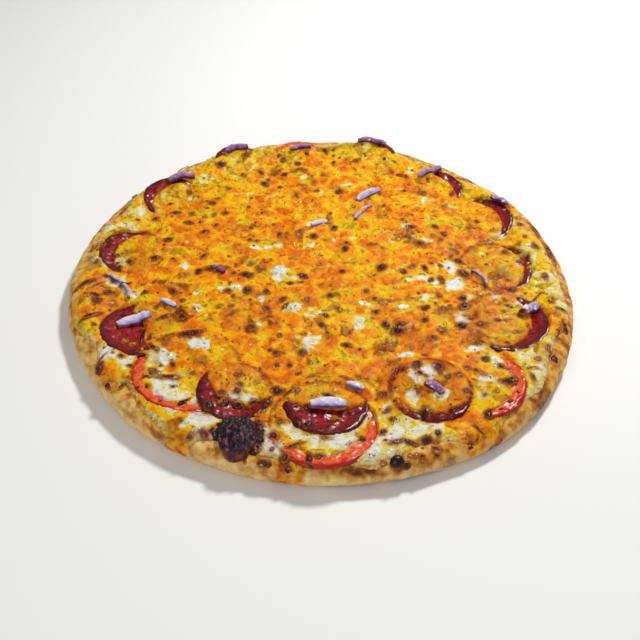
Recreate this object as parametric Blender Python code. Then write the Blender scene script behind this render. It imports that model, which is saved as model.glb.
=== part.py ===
# Chicken ranch pizza: a baked round of dough under a cheese blanket, with salami, tomato,
# red onion, chicken and one charred lump. Sizes are in millimetres, and each finished mesh
# is scaled to metres. The origin is the centre of the flat underside.

import math
import random
from collections import namedtuple

import bmesh
import bpy
from mathutils import Vector, noise
from mathutils.bvhtree import BVHTree
from mathutils.geometry import delaunay_2d_cdt

METRES_PER_MM = 0.001
GAP = 0.3
CUT_GAP = 0.6
SETTLE_MARGIN = 0.05
UP = Vector((0.0, 0.0, 1.0))
DOWN = Vector((0.0, 0.0, -1.0))
ABOVE_ALL = 80.0
BELOW_ALL = -40.0

# Dough: a flat bed inside a low rounded rim.
PIZZA_RADIUS = 152.5
RIM_HALF_WIDTH = 9.0
RIM_SLOPE = 22.0
RIM_HEIGHT = 14.4
BED_HEIGHT = 9.5
CRUST_SEGMENTS = 72
CRUST_OUTER_STEPS = 7
CRUST_SLOPE_STEPS = 3

# Slow waves round the edge, each with its count per turn, size and start angle.
Wave = namedtuple("Wave", "count size start")
EDGE_WAVES = (Wave(2, 1.0, 0.6), Wave(3, 0.8, 2.1), Wave(5, 0.6, 4.0), Wave(9, 0.3, 1.3))
RIM_WAVES = (Wave(3, 0.5, 1.0), Wave(7, 0.5, 3.0))

# Rim bubbles: browned blisters fused to the dough, and one burnt black.
RIM_BUBBLES = 16
RIM_BUBBLE_RADIUS = (2.4, 4.2)
RIM_BUBBLE_SEED = 11
BLACK_BUBBLE = (40.0, -141.0)
BLACK_BUBBLE_RADIUS = 4.1
BLACK_BUBBLE_HEIGHT = 3.0

# Slices: centre, radius, and the part that the cheese leaves bare, as the direction that it
# faces, its depth in from the slice's edge and its half span round the slice in degrees.
Slice = namedtuple("Slice", "x y radius facing depth span")
TOMATO_THICKNESS = 2.4
TOMATO_SEGMENTS = 20
TOMATOES = (
    Slice(-20.0, 126.0, 18.0, 99, 7.0, 110),
    Slice(82.0, -84.0, 31.0, -15, 8.5, 100),
    Slice(2.0, -119.0, 29.5, -80, 10.0, 125),
    Slice(-72.0, -84.0, 31.0, -130, 10.0, 105),
)
SALAMI_THICKNESS = 1.8
SALAMI_CUP = 0.9
SALAMI_SEGMENTS = 16
SALAMIS = (
    Slice(-104.0, -51.0, 23.0, 200, 27.0, 122),
    Slice(-119.5, 17.0, 21.5, 172, 11.5, 110),
    Slice(-102.0, 74.0, 20.5, 150, 10.0, 110),
    Slice(-62.0, 118.0, 17.0, 118, 7.0, 105),
    Slice(32.4, 130.0, 17.5, 76, 6.5, 105),
    Slice(74.0, 93.0, 21.0, 45, 8.0, 105),
    Slice(104.0, 61.0, 21.5, 20, 10.0, 105),
    Slice(108.0, 14.0, 23.5, 10, 6.0, 110),
    Slice(108.0, -36.0, 25.5, -20, 11.0, 115),
    Slice(60.0, -93.0, 23.5, -100, 5.5, 140),
    Slice(4.0, -104.0, 22.8, -90, 18.0, 110),
    Slice(-45.0, -97.0, 21.0, -115, 12.5, 115),
)

# Red onion strips: middle, length, heading in degrees, width and sideways bow.
Onion = namedtuple("Onion", "x y length heading width bow")
ONION_THICKNESS = 2.0
ONION_STEPS = 5
ONION_END_SHARE = 0.6
ONIONS = (
    Onion(-108.0, -45.0, 20.0, 25, 7.0, 1.0),
    Onion(-122.0, -18.0, 25.0, -52, 2.6, 3.5),
    Onion(-90.5, -31.5, 11.0, -32, 4.0, 1.0),
    Onion(-98.0, 92.0, 18.0, 25, 4.0, 2.0),
    Onion(-63.0, 126.0, 17.0, 33, 3.6, 2.5),
    Onion(-18.0, 132.0, 15.0, 16, 3.0, 1.8),
    Onion(33.0, 139.0, 20.0, -3, 3.4, 2.6),
    Onion(73.0, 107.0, 18.0, 30, 5.5, 1.8),
    Onion(30.0, 83.0, 20.0, 40, 6.0, 1.6),
    Onion(26.0, 63.0, 18.0, 52, 3.6, 1.4),
    Onion(117.0, 76.0, 13.0, -40, 3.0, 1.4),
    Onion(96.0, 0.0, 16.0, -61, 2.4, 2.4),
    Onion(124.0, -28.0, 12.0, 38, 5.0, 0.8),
    Onion(61.0, -95.0, 12.0, -44, 5.5, 1.2),
    Onion(5.0, -108.0, 19.0, 2, 6.5, 1.2),
    Onion(19.0, -95.0, 10.0, -23, 4.0, 0.8),
    Onion(-3.0, 50.0, 11.0, 20, 4.0, 1.0),
    Onion(-65.0, 1.0, 10.0, -27, 4.0, 1.0),
)

# Chicken: middle, width, height and how it is turned, in degrees.
Chunk = namedtuple("Chunk", "x y width height turn")
CHICKEN_SIDES = 9
CHICKEN_NARROWING = 0.76
CHICKENS = (
    Chunk(-91.0, 19.0, 12.0, 6.4, 20),
    Chunk(15.0, -47.0, 11.0, 6.4, 70),
    Chunk(47.0, -42.0, 13.0, 6.6, 10),
    Chunk(34.0, -63.0, 9.0, 6.0, 120),
    Chunk(-80.0, -38.0, 14.0, 5.0, 30),
    Chunk(40.0, 67.0, 14.0, 6.6, 50),
    Chunk(56.0, 42.0, 11.0, 6.2, 140),
)

# Charred lump on the rim.
LUMP = Chunk(-41.0, -130.0, 27.0, 7.2, 95)
LUMP_FACETS = 3
LUMP_CRUMB = 0.16
LUMP_SEAT_REACH = 1.5

# Cheese: a blanket with a lobed edge and a few runs down the rim.
CHEESE_MARGIN = 9.6
CHEESE_THICKNESS = 4.0
CHEESE_EDGE_THICKNESS = 1.3
CHEESE_TAPER = 12.0
CHEESE_COVER = 1.5
CHEESE_FLOOR = 5.0
CHEESE_SEAT = 0.35
CHEESE_SEAT_SEGMENTS = 38
CHEESE_SPACING = 8.8
CHEESE_OUTLINE_POINTS = 150
CHEESE_TRIANGLES = 6500
CHEESE_LUMP = 0.9
CHEESE_LUMP_SCALE = 0.085
CHEESE_MOUND = 1.1
CHEESE_WAVES = (Wave(9, 2.0, 0.4), Wave(16, 1.7, 2.9), Wave(27, 1.0, 5.0))
Run = namedtuple("Run", "heading reach half_width")
CHEESE_RUNS = (
    Run(-118.7, 7.0, 3.0),
    Run(-95.0, 7.0, 2.6),
    Run(-56.0, 7.0, 4.0),
    Run(-175.0, 5.0, 5.0),
    Run(-163.0, 4.0, 5.0),
    Run(-143.0, 5.0, 4.0),
    Run(-17.0, 4.0, 4.0),
    Run(30.0, 4.0, 3.0),
)

# Browned blisters in the cheese.
BLISTERS = 34
BLISTER_RADIUS = (2.0, 3.6)
BLISTER_CLEARANCE = 3.0
BLISTER_SEED = 4


def clear_scene():
    for old in list(bpy.data.objects):
        bpy.data.objects.remove(old, do_unlink=True)


def finish(name, colour, roughness):
    material = bpy.data.materials.new(name)
    material.use_nodes = True
    shader = material.node_tree.nodes["Principled BSDF"]
    shader.inputs["Base Color"].default_value = (*colour, 1.0)
    shader.inputs["Roughness"].default_value = roughness
    shader.inputs["Metallic"].default_value = 0.0
    return material


def add_object(name, shape, material=None):
    """A mesh object from points in millimetres, closed, triangulated and facing outwards."""
    points, faces = shape
    mesh = bpy.data.meshes.new(name)
    mesh.from_pydata([Vector(point) * METRES_PER_MM for point in points], [], faces)
    sheet = bmesh.new()
    sheet.from_mesh(mesh)
    bmesh.ops.triangulate(sheet, faces=sheet.faces)
    bmesh.ops.recalc_face_normals(sheet, faces=sheet.faces)
    sheet.to_mesh(mesh)
    sheet.free()
    mesh.shade_smooth()
    if material:
        mesh.materials.append(material)
    piece = bpy.data.objects.new(name, mesh)
    bpy.context.scene.collection.objects.link(piece)
    return piece


def combine(target, others, operation):
    """One Boolean on a collection of shapes, applied, with the shapes then removed."""
    group = bpy.data.collections.new("shapes_to_" + operation.lower())
    bpy.context.scene.collection.children.link(group)
    for other in others:
        bpy.context.scene.collection.objects.unlink(other)
        group.objects.link(other)
        other.hide_render = True
        other.display_type = "WIRE"
    modifier = target.modifiers.new(operation.title(), "BOOLEAN")
    modifier.operation = operation
    modifier.operand_type = "COLLECTION"
    modifier.collection = group
    modifier.solver = "EXACT"
    bpy.context.view_layer.objects.active = target
    bpy.ops.object.modifier_apply(modifier=modifier.name)
    for other in others:
        spare = other.data
        bpy.data.objects.remove(other, do_unlink=True)
        bpy.data.meshes.remove(spare)
    bpy.data.collections.remove(group)


def shape_of(piece):
    """The points, back in millimetres, and the faces of a finished piece."""
    points = [vert.co / METRES_PER_MM for vert in piece.data.vertices]
    return points, [tuple(face.vertices) for face in piece.data.polygons]


def keep_largest_island(piece):
    """Drops the loose scraps that cutting leaves."""
    sheet = bmesh.new()
    sheet.from_mesh(piece.data)
    islands = []
    unseen = set(sheet.verts)
    while unseen:
        island = {unseen.pop()}
        border = set(island)
        while border:
            joined = {edge.other_vert(vert) for vert in border for edge in vert.link_edges}
            border = joined - island
            island |= border
        unseen -= island
        islands.append(island)
    islands.sort(key=len, reverse=True)
    scraps = [vert for island in islands[1:] for vert in island]
    bmesh.ops.delete(sheet, geom=scraps, context="VERTS")
    sheet.to_mesh(piece.data)
    sheet.free()


def thin_out(piece, most):
    """Merges the smallest triangles that cutting leaves, down to the most wanted."""
    now = sum(len(face.vertices) - 2 for face in piece.data.polygons)
    modifier = piece.modifiers.new("Thin out", "DECIMATE")
    modifier.ratio = min(1.0, most / now)
    modifier.use_collapse_triangulate = True
    bpy.context.view_layer.objects.active = piece
    bpy.ops.object.modifier_apply(modifier=modifier.name)


def wave_sum(waves, angle):
    return sum(wave.size * math.cos(wave.count * angle + wave.start) for wave in waves)


def edge_radius(angle):
    return PIZZA_RADIUS + wave_sum(EDGE_WAVES, angle)


def crown_radius(angle):
    return edge_radius(angle) - RIM_HALF_WIDTH


def rim_height(angle):
    return RIM_HEIGHT + wave_sum(RIM_WAVES, angle)


def bed_line(x, y):
    """Height of the dough's top, held level outside the rim's crown."""
    angle = math.atan2(y, x)
    inward = (crown_radius(angle) - math.hypot(x, y)) / RIM_SLOPE
    inward = min(max(inward, 0.0), 1.0)
    rise = 0.5 + 0.5 * math.cos(math.pi * inward)
    return BED_HEIGHT + (rim_height(angle) - BED_HEIGHT) * rise


def dough_top(x, y):
    angle = math.atan2(y, x)
    outward = (math.hypot(x, y) - crown_radius(angle)) / RIM_HALF_WIDTH
    if outward <= 0.0:
        return bed_line(x, y)
    half_height = rim_height(angle) / 2.0
    return half_height * (1.0 + math.sqrt(max(0.0, 1.0 - outward**2)))


def polar(middle, radius, angle):
    return middle[0] + radius * math.cos(angle), middle[1] + radius * math.sin(angle)


def crust_section(angle, grow, outer_steps):
    """The rim's half outline, from under the crown round the outside and in to the bed."""
    crown = crown_radius(angle)
    half_height = rim_height(angle) / 2.0
    section = []
    for step in range(outer_steps + 1):
        turn = math.pi * (step / outer_steps - 0.5)
        radius = crown + (RIM_HALF_WIDTH + grow) * math.cos(turn)
        section.append((radius, half_height + (half_height + grow) * math.sin(turn)))
    for step in range(1, CRUST_SLOPE_STEPS + 1):
        radius = crown - RIM_SLOPE * step / CRUST_SLOPE_STEPS
        section.append((radius, bed_line(*polar((0.0, 0.0), radius, angle)) + grow))
    return section


def ring_faces(rings, count):
    """Quads between rings of points that are stored one after another."""
    faces = []
    for ring in range(rings - 1):
        for step in range(count):
            first = ring * count + step
            second = ring * count + (step + 1) % count
            faces.append((first, second, second + count, first + count))
    return faces


def crust_shape(count=CRUST_SEGMENTS, outer_steps=CRUST_OUTER_STEPS, grow=0.0):
    angles = [math.tau * step / count for step in range(count)]
    sections = [crust_section(angle, grow, outer_steps) for angle in angles]
    rings = len(sections[0])
    points = [
        (*polar((0.0, 0.0), section[ring][0], angle), section[ring][1])
        for ring in range(rings)
        for angle, section in zip(angles, sections)
    ]
    faces = ring_faces(rings, count)
    faces.append(tuple(range(count)))
    faces.append(tuple(range((rings - 1) * count, rings * count)))
    return points, faces


def dome_shape(x, y, height, radius, rise, grow=0.0):
    """A low blister whose root goes down into what it stands on."""
    sides = 6
    root = 2.5
    levels = ((1.0, -root), (1.0, 0.1 * rise), (0.6, rise + grow))
    points = [
        (*polar((x, y), radius * share + grow, math.tau * step / sides), height + level)
        for share, level in levels
        for step in range(sides)
    ]
    faces = ring_faces(len(levels), sides)
    faces.append(tuple(range(sides)))
    faces.append(tuple(range(2 * sides, 3 * sides)))
    return points, faces


def rim_bubbles():
    """Where the rim's blisters are: x, y, radius and rise."""
    draw = random.Random(RIM_BUBBLE_SEED)
    bubbles = [(*BLACK_BUBBLE, BLACK_BUBBLE_RADIUS, BLACK_BUBBLE_HEIGHT)]
    for step in range(RIM_BUBBLES):
        angle = math.tau * (step + draw.uniform(-0.3, 0.3)) / RIM_BUBBLES
        radius = draw.uniform(*RIM_BUBBLE_RADIUS)
        x, y = polar((0.0, 0.0), crown_radius(angle) + draw.uniform(0.5, 3.5), angle)
        if not near_toppings(x, y, radius + 1.5):
            bubbles.append((x, y, radius, 0.55 * radius))
    return bubbles


def near_toppings(x, y, reach):
    spots = [(one.x, one.y, one.radius) for one in SALAMIS + TOMATOES]
    spots += [(one.x, one.y, one.width / 2.0) for one in (*CHICKENS, LUMP)]
    spots += [(one.x, one.y, one.length / 2.0) for one in ONIONS]
    spots.append((*BLACK_BUBBLE, BLACK_BUBBLE_RADIUS))
    return any(math.hypot(x - a, y - b) < size + reach for a, b, size in spots)


def slice_bump(x, y, over):
    """How far the slices under a slice lift it, easing off beyond their edges."""
    ease = 9.0
    lift = 0.0
    for lower in over:
        beyond = math.hypot(x - lower.x, y - lower.y) - lower.radius
        share = min(max(1.0 - beyond / ease, 0.0), 1.0)
        lift = max(lift, (TOMATO_THICKNESS + GAP) * share * share * (3.0 - 2.0 * share))
    return lift


def slice_ring(one, count, share=1.0, grow=0.0):
    """The points of a slightly uneven ring round a slice's middle."""
    ring = []
    for step in range(count):
        angle = math.tau * step / count
        wobble = 0.012 * math.cos(3.0 * angle + one.x) + 0.01 * math.cos(5.0 * angle + one.y)
        ring.append(polar((one.x, one.y), one.radius * share * (1.0 + wobble) + grow, angle))
    return ring


def slice_shape(one, thickness, cup, count, over):
    """A thin round slice draped on the dough and on the slices under it."""
    points = []
    for share, rise in ((0.6, 0.0), (1.0, 0.0), (0.96, thickness), (0.6, thickness)):
        for x, y in slice_ring(one, count, share):
            rest = bed_line(x, y) + slice_bump(x, y, over)
            points.append((x, y, rest + GAP + cup * share**3 + rise))
    middle = bed_line(one.x, one.y) + slice_bump(one.x, one.y, over) + GAP
    points.append((one.x, one.y, middle))
    points.append((one.x, one.y, middle + thickness))
    faces = ring_faces(4, count)
    last = 3 * count
    for step in range(count):
        after = (step + 1) % count
        faces.append((after, step, 4 * count))
        faces.append((last + step, last + after, 4 * count + 1))
    return points, faces


def slice_cutter(one, shape, count):
    """The slice's space in the cheese: a little wider and higher, and open underneath."""
    points, _ = shape
    edge = slice_ring(one, count, 1.0, CUT_GAP)
    tops = [points[2 * count + step].z + CUT_GAP for step in range(count)]
    grown = [(x, y, CHEESE_FLOOR - 2.0) for x, y in edge]
    grown += [(x, y, top) for (x, y), top in zip(edge, tops)]
    grown += [point + UP * CUT_GAP for point in points[3 * count : 4 * count]]
    grown.append(points[-1] + UP * CUT_GAP)
    faces = ring_faces(3, count)
    faces.append(tuple(range(count)))
    last = 2 * count
    faces += [(last + step, last + (step + 1) % count, 3 * count) for step in range(count)]
    return grown, faces


def bare_cutter(one, count):
    """A tall prism over the lune of a slice that the cheese leaves bare.

    Its outside follows the edge of the slice's own space. Its inside is the arc of a circle
    that crosses the slice the wanted depth in from its edge.
    """
    middle = Vector((one.x, one.y))
    facing = math.radians(one.facing)
    span = math.radians(one.span)
    turns = []
    for step, place in enumerate(slice_ring(one, count, 1.0, CUT_GAP)):
        turn = math.remainder(math.tau * step / count - facing, math.tau)
        if abs(turn) <= span:
            turns.append((turn, Vector(place)))
    turns.sort(key=lambda found: found[0])
    outline = [place for _, place in turns]
    outer = one.radius + CUT_GAP
    inner = outer - one.depth
    back = (outer**2 - inner**2) / (2.0 * (inner - outer * math.cos(span)))
    centre = middle - back * Vector((math.cos(facing), math.sin(facing)))
    ends = [place - centre for place in (outline[-1], outline[0])]
    leans = [math.remainder(math.atan2(end.y, end.x) - facing, math.tau) for end in ends]
    steps = 7
    for step in range(1, steps):
        share = step / steps
        lean = leans[0] + (leans[1] - leans[0]) * share
        reach = ends[0].length + (ends[1].length - ends[0].length) * share
        reach += (back + inner - reach) * math.sin(math.pi * share)
        outline.append(Vector(polar(centre, reach, facing + lean)))
    return prism(outline, CHEESE_FLOOR - 2.0, ABOVE_ALL / 2.0)


def prism(outline, low, high):
    count = len(outline)
    points = [(x, y, low) for x, y in outline] + [(x, y, high) for x, y in outline]
    faces = ring_faces(2, count)
    faces.append(tuple(range(count)))
    faces.append(tuple(range(count, 2 * count)))
    return points, faces


def tree_of(shape):
    points, faces = shape
    return BVHTree.FromPolygons([Vector(point) for point in points], faces)


def moved_up(shape, lift):
    points, faces = shape
    return [Vector(point) + UP * lift for point in points], faces


def highest_under(x, y, supports):
    """The highest surface that a straight line down from above meets."""
    levels = [tree.ray_cast(Vector((x, y, ABOVE_ALL)), DOWN)[0] for tree in supports]
    return max((hit.z for hit in levels if hit), default=None)


def settled(shape, supports, step=1.2):
    """The shape moved straight up or down until it clears what is under it by the gap."""
    points, _ = shape
    tree = tree_of(shape)
    lows = [min(point[axis] for point in points) for axis in (0, 1)]
    highs = [max(point[axis] for point in points) for axis in (0, 1)]
    lift = None
    for i in range(int((highs[0] - lows[0]) / step) + 1):
        for j in range(int((highs[1] - lows[1]) / step) + 1):
            x = lows[0] + (i + 0.5) * step
            y = lows[1] + (j + 0.5) * step
            underside = tree.ray_cast(Vector((x, y, BELOW_ALL)), UP)[0]
            support = highest_under(x, y, supports)
            if underside is None or support is None:
                continue
            needed = support + GAP + SETTLE_MARGIN - underside.z
            lift = needed if lift is None else max(lift, needed)
    return moved_up(shape, lift or 0.0)


def onion_shape(one, supports):
    """A bowed strip, narrower at its ends, that follows what lies under it."""
    heading = math.radians(one.heading)
    points = []
    for step in range(ONION_STEPS + 1):
        share = step / ONION_STEPS - 0.5
        ahead = share * one.length
        aside = one.bow * (1.0 - 4.0 * share * share)
        lean = heading + math.atan2(-8.0 * one.bow * share, one.length)
        x = one.x + ahead * math.cos(heading) - aside * math.sin(heading)
        y = one.y + ahead * math.sin(heading) + aside * math.cos(heading)
        low = highest_under(x, y, supports)
        end_share = 2.0 * abs(share)
        half = one.width / 2.0 * (1.0 - (1.0 - ONION_END_SHARE) * end_share ** 3)
        across = Vector((-math.sin(lean), math.cos(lean), 0.0)) * half
        seat = Vector((x, y, low))
        top = seat + UP * ONION_THICKNESS
        points += [seat - across, seat + across, top + across, top - across]
    faces = ring_faces(ONION_STEPS + 1, 4)
    faces.append((0, 1, 2, 3))
    faces.append(tuple(range(4 * ONION_STEPS, 4 * ONION_STEPS + 4)))
    return points, faces


def chunk_ring(one, share, grow=0.0):
    """An uneven ring round a chunk, longer one way than the other."""
    turn = math.radians(one.turn)
    ring = []
    for step in range(CHICKEN_SIDES):
        angle = math.tau * step / CHICKEN_SIDES
        seat = Vector((one.x * 0.1, one.y * 0.1, angle * 2.0))
        reach = share * (1.0 + 0.16 * noise.noise(seat)) * one.width / 2.0 + grow
        ahead = reach * math.cos(angle)
        aside = reach * math.sin(angle) * CHICKEN_NARROWING
        x = one.x + ahead * math.cos(turn) - aside * math.sin(turn)
        y = one.y + ahead * math.sin(turn) + aside * math.cos(turn)
        ring.append((x, y))
    return ring


def chicken_shape(one):
    """A diced chunk with worn edges and an uneven top."""
    low = BED_HEIGHT + GAP
    points = []
    for share, level in ((0.93, 0.0), (1.0, 0.3), (0.97, 0.68), (0.7, 0.95)):
        for x, y in chunk_ring(one, share):
            dent = 0.12 * noise.noise(Vector((x, y, level)) * 0.35) if level > 0.5 else 0.0
            points.append((x, y, low + one.height * (level + dent)))
    points.append((one.x, one.y, low + one.height))
    faces = ring_faces(4, CHICKEN_SIDES)
    faces.append(tuple(range(CHICKEN_SIDES)))
    last = 3 * CHICKEN_SIDES
    for step in range(CHICKEN_SIDES):
        faces.append((last + step, last + (step + 1) % CHICKEN_SIDES, last + CHICKEN_SIDES))
    return points, faces


def lump_shape(supports):
    """The charred lump: crumbly all over, its underside shaped to what it lies on."""
    ball = bmesh.new()
    bmesh.ops.create_icosphere(ball, subdivisions=LUMP_FACETS, radius=1.0)
    turn = math.radians(LUMP.turn)
    points = []
    for vert in ball.verts:
        swell = 1.0 + LUMP_CRUMB * noise.noise(vert.co * 2.6)
        swell += 0.5 * LUMP_CRUMB * noise.noise(vert.co * 7.0)
        ahead = vert.co.x * swell * LUMP.width / 2.0
        aside = vert.co.y * swell * LUMP.width * 0.45
        rise = (0.5 + 0.5 * max(vert.co.z * swell, -0.55)) * LUMP.height
        x = LUMP.x + ahead * math.cos(turn) - aside * math.sin(turn)
        y = LUMP.y + ahead * math.sin(turn) + aside * math.cos(turn)
        around = [(x, y)] + [polar((x, y), LUMP_SEAT_REACH, math.tau * step / 6) for step in range(6)]
        levels = [highest_under(a, b, supports) for a, b in around]
        seat = max(level for level in levels if level is not None)
        points.append((x, y, seat + rise))
    faces = [tuple(vert.index for vert in face.verts) for face in ball.faces]
    ball.free()
    return points, faces


def cheese_edge(angle):
    reach = edge_radius(angle) - CHEESE_MARGIN + wave_sum(CHEESE_WAVES, angle)
    for run in CHEESE_RUNS:
        apart = math.remainder(angle - math.radians(run.heading), math.tau)
        reach += run.reach * math.exp(-((apart / math.radians(run.half_width)) ** 2))
    return min(reach, edge_radius(angle) - 2.2)


def cheese_top(x, y, supports):
    """Height of the cheese over the dough and over the slices that it covers."""
    inward = (cheese_edge(math.atan2(y, x)) - math.hypot(x, y)) / CHEESE_TAPER
    share = math.sin(0.5 * math.pi * min(max(inward, 0.0), 1.0))
    depth = CHEESE_EDGE_THICKNESS + (CHEESE_THICKNESS - CHEESE_EDGE_THICKNESS) * share
    lump = noise.fractal(Vector((x, y, 0.0)) * CHEESE_LUMP_SCALE, 1.0, 2.0, 3)
    depth += CHEESE_LUMP * lump * share
    for one in CHICKENS:
        near = math.hypot(x - one.x, y - one.y) / one.width
        depth += CHEESE_MOUND * math.exp(-2.0 * near * near)
    height = dough_top(x, y) + depth
    around = [(x, y)] + [polar((x, y), 4.0, math.tau * turn / 6) for turn in range(6)]
    covered = [highest_under(a, b, supports) for a, b in around]
    covered = [level for level in covered if level is not None]
    if covered:
        height = max(height, max(covered) + CHEESE_COVER * (0.6 + 0.4 * share) + 0.4 * lump)
    return height


def cheese_shape(supports):
    """The blanket: one point per place in a hexagonal grid inside the lobed edge."""
    places = []
    for step in range(CHEESE_OUTLINE_POINTS):
        angle = math.tau * step / CHEESE_OUTLINE_POINTS
        places.append(Vector(polar((0.0, 0.0), cheese_edge(angle), angle)))
    outline = list(range(CHEESE_OUTLINE_POINTS))
    row_height = CHEESE_SPACING * math.sqrt(0.75)
    rows = int(PIZZA_RADIUS / row_height)
    for row in range(-rows, rows + 1):
        for column in range(-rows - 1, rows + 2):
            x = (column + 0.5 * (row % 2)) * CHEESE_SPACING
            y = row * row_height
            reach = cheese_edge(math.atan2(y, x)) - 0.6 * CHEESE_SPACING
            if math.hypot(x, y) < reach:
                places.append(Vector((x, y)))
    flat = delaunay_2d_cdt(places, [], [outline], 1, 1e-4)
    tops = [(place.x, place.y, cheese_top(place.x, place.y, supports)) for place in flat[0]]
    faces = [tuple(face) for face in flat[2]]
    origins = [found[0] if found else -1 for found in flat[3]]
    ring = [origins.index(step) for step in outline]
    base = len(tops)
    points = tops + [(tops[index][0], tops[index][1], CHEESE_FLOOR) for index in ring]
    count = len(ring)
    for step in range(count):
        after = (step + 1) % count
        faces.append((ring[step], ring[after], base + after, base + step))
    faces.append(tuple(range(base, base + count)))
    return points, faces


def cheese_blisters(supports):
    draw = random.Random(BLISTER_SEED)
    spots = []
    tries = 0
    while len(spots) < BLISTERS and tries < 4000:
        tries += 1
        x, y = polar((0.0, 0.0), 132.0 * math.sqrt(draw.random()), draw.uniform(0.0, math.tau))
        radius = draw.uniform(*BLISTER_RADIUS)
        if near_toppings(x, y, radius + 0.8):
            continue
        if any(math.hypot(x - a, y - b) < radius + size + BLISTER_CLEARANCE for a, b, size in spots):
            continue
        spots.append((x, y, radius))
    return [
        dome_shape(x, y, cheese_top(x, y, supports) - 0.2, radius, 0.5 * radius)
        for x, y, radius in spots
    ]


def build():
    clear_scene()
    dough_finish = finish("baked dough", (0.72, 0.52, 0.30), 0.75)
    cheese_finish = finish("melted cheese", (0.80, 0.36, 0.03), 0.38)
    salami_finish = finish("salami", (0.30, 0.03, 0.02), 0.35)
    tomato_finish = finish("baked tomato", (0.62, 0.07, 0.03), 0.3)
    onion_finish = finish("red onion", (0.52, 0.38, 0.58), 0.35)
    chicken_finish = finish("cooked chicken", (0.62, 0.42, 0.28), 0.55)
    charred_finish = finish("charred crumb", (0.03, 0.012, 0.01), 0.6)

    crust = add_object("crust", crust_shape(), dough_finish)
    bubbles = rim_bubbles()
    domes = [
        add_object("rim_bubble", dome_shape(x, y, dough_top(x, y), radius, rise))
        for x, y, radius, rise in bubbles
    ]
    combine(crust, domes, "UNION")

    supports = [tree_of(crust_shape())]
    slice_trees = []
    seat = crust_shape(CHEESE_SEAT_SEGMENTS, CRUST_OUTER_STEPS, GAP + CHEESE_SEAT)
    cutters = [add_object("crust_space", seat)]
    cutters += [
        add_object("bubble_space", dome_shape(x, y, dough_top(x, y), radius, rise, CUT_GAP))
        for x, y, radius, rise in bubbles
    ]

    def lay_slices(prefix, slices, thickness, cup, count, over, material):
        for number, one in enumerate(slices, start=1):
            shape = settled(slice_shape(one, thickness, cup, count, over), supports)
            add_object(f"{prefix}_{number:02d}", shape, material)
            slice_trees.append(tree_of(shape))
            supports.append(slice_trees[-1])
            cutters.append(add_object("slice_space", slice_cutter(one, shape, count)))
            cutters.append(add_object("bare_space", bare_cutter(one, count)))

    lay_slices("tomato", TOMATOES, TOMATO_THICKNESS, 0.0, TOMATO_SEGMENTS, (), tomato_finish)
    lay_slices(
        "salami", SALAMIS, SALAMI_THICKNESS, SALAMI_CUP, SALAMI_SEGMENTS, TOMATOES, salami_finish
    )

    for number, one in enumerate(CHICKENS, start=1):
        shape = settled(chicken_shape(one), supports)
        add_object(f"chicken_{number:02d}", shape, chicken_finish)
        supports.append(tree_of(shape))
        well = prism(chunk_ring(one, 1.0, CUT_GAP), CHEESE_FLOOR - 2.0, ABOVE_ALL / 2.0)
        cutters.append(add_object("chicken_space", well))

    cheese = add_object("cheese", cheese_shape(slice_trees), cheese_finish)
    blisters = [add_object("blister", shape) for shape in cheese_blisters(slice_trees)]
    combine(cheese, blisters, "UNION")
    combine(cheese, cutters, "DIFFERENCE")
    keep_largest_island(cheese)
    thin_out(cheese, CHEESE_TRIANGLES)
    supports.append(tree_of(shape_of(cheese)))

    add_object("charred_lump", settled(lump_shape(supports), supports, 0.7), charred_finish)
    for number, one in enumerate(ONIONS, start=1):
        shape = settled(onion_shape(one, supports), supports, 0.5)
        add_object(f"onion_{number:02d}", shape, onion_finish)


build()
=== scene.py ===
import math

import bmesh
import bpy
import numpy as np
from mathutils import Matrix, Vector
from mathutils.bvhtree import BVHTree


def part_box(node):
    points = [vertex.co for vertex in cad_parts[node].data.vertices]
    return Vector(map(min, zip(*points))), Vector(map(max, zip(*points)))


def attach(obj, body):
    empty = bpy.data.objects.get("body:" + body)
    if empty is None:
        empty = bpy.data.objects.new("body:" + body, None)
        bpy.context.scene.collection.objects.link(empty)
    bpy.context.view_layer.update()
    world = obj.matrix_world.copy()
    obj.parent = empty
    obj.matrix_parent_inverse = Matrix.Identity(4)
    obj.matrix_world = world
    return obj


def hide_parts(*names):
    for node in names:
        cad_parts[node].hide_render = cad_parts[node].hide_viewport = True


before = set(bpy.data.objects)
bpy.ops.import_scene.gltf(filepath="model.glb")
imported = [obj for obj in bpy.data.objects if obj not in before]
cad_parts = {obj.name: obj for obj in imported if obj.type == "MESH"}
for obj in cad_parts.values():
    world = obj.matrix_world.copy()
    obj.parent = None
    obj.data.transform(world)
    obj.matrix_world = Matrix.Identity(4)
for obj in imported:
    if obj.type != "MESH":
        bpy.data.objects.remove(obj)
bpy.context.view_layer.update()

scene = bpy.context.scene
mm = 0.001
print("frame loaded:", len(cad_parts), "nodes")

# Camera, worked out from the outline of the pizza and of what it lay on
camera = {
    "target": (-0.794, -25.574, 0.0),   # mm, the point on the table that it looks at
    "distance": 545.06,                 # mm
    "elevation": 43.887,                # degrees above the table
    "roll": 1.6656,                     # degrees
    "focalPixels": 900.0,
    "imagePixels": 640.0,
    "sensor": 36.0,
}


def cameraAxes():
    rise = math.radians(camera["elevation"])
    back = Vector((0.0, -math.cos(rise), math.sin(rise)))
    right = Vector((1.0, 0.0, 0.0))
    up = back.cross(right)
    place = Vector(camera["target"]) + back * camera["distance"]
    return place, right, up, back


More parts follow.
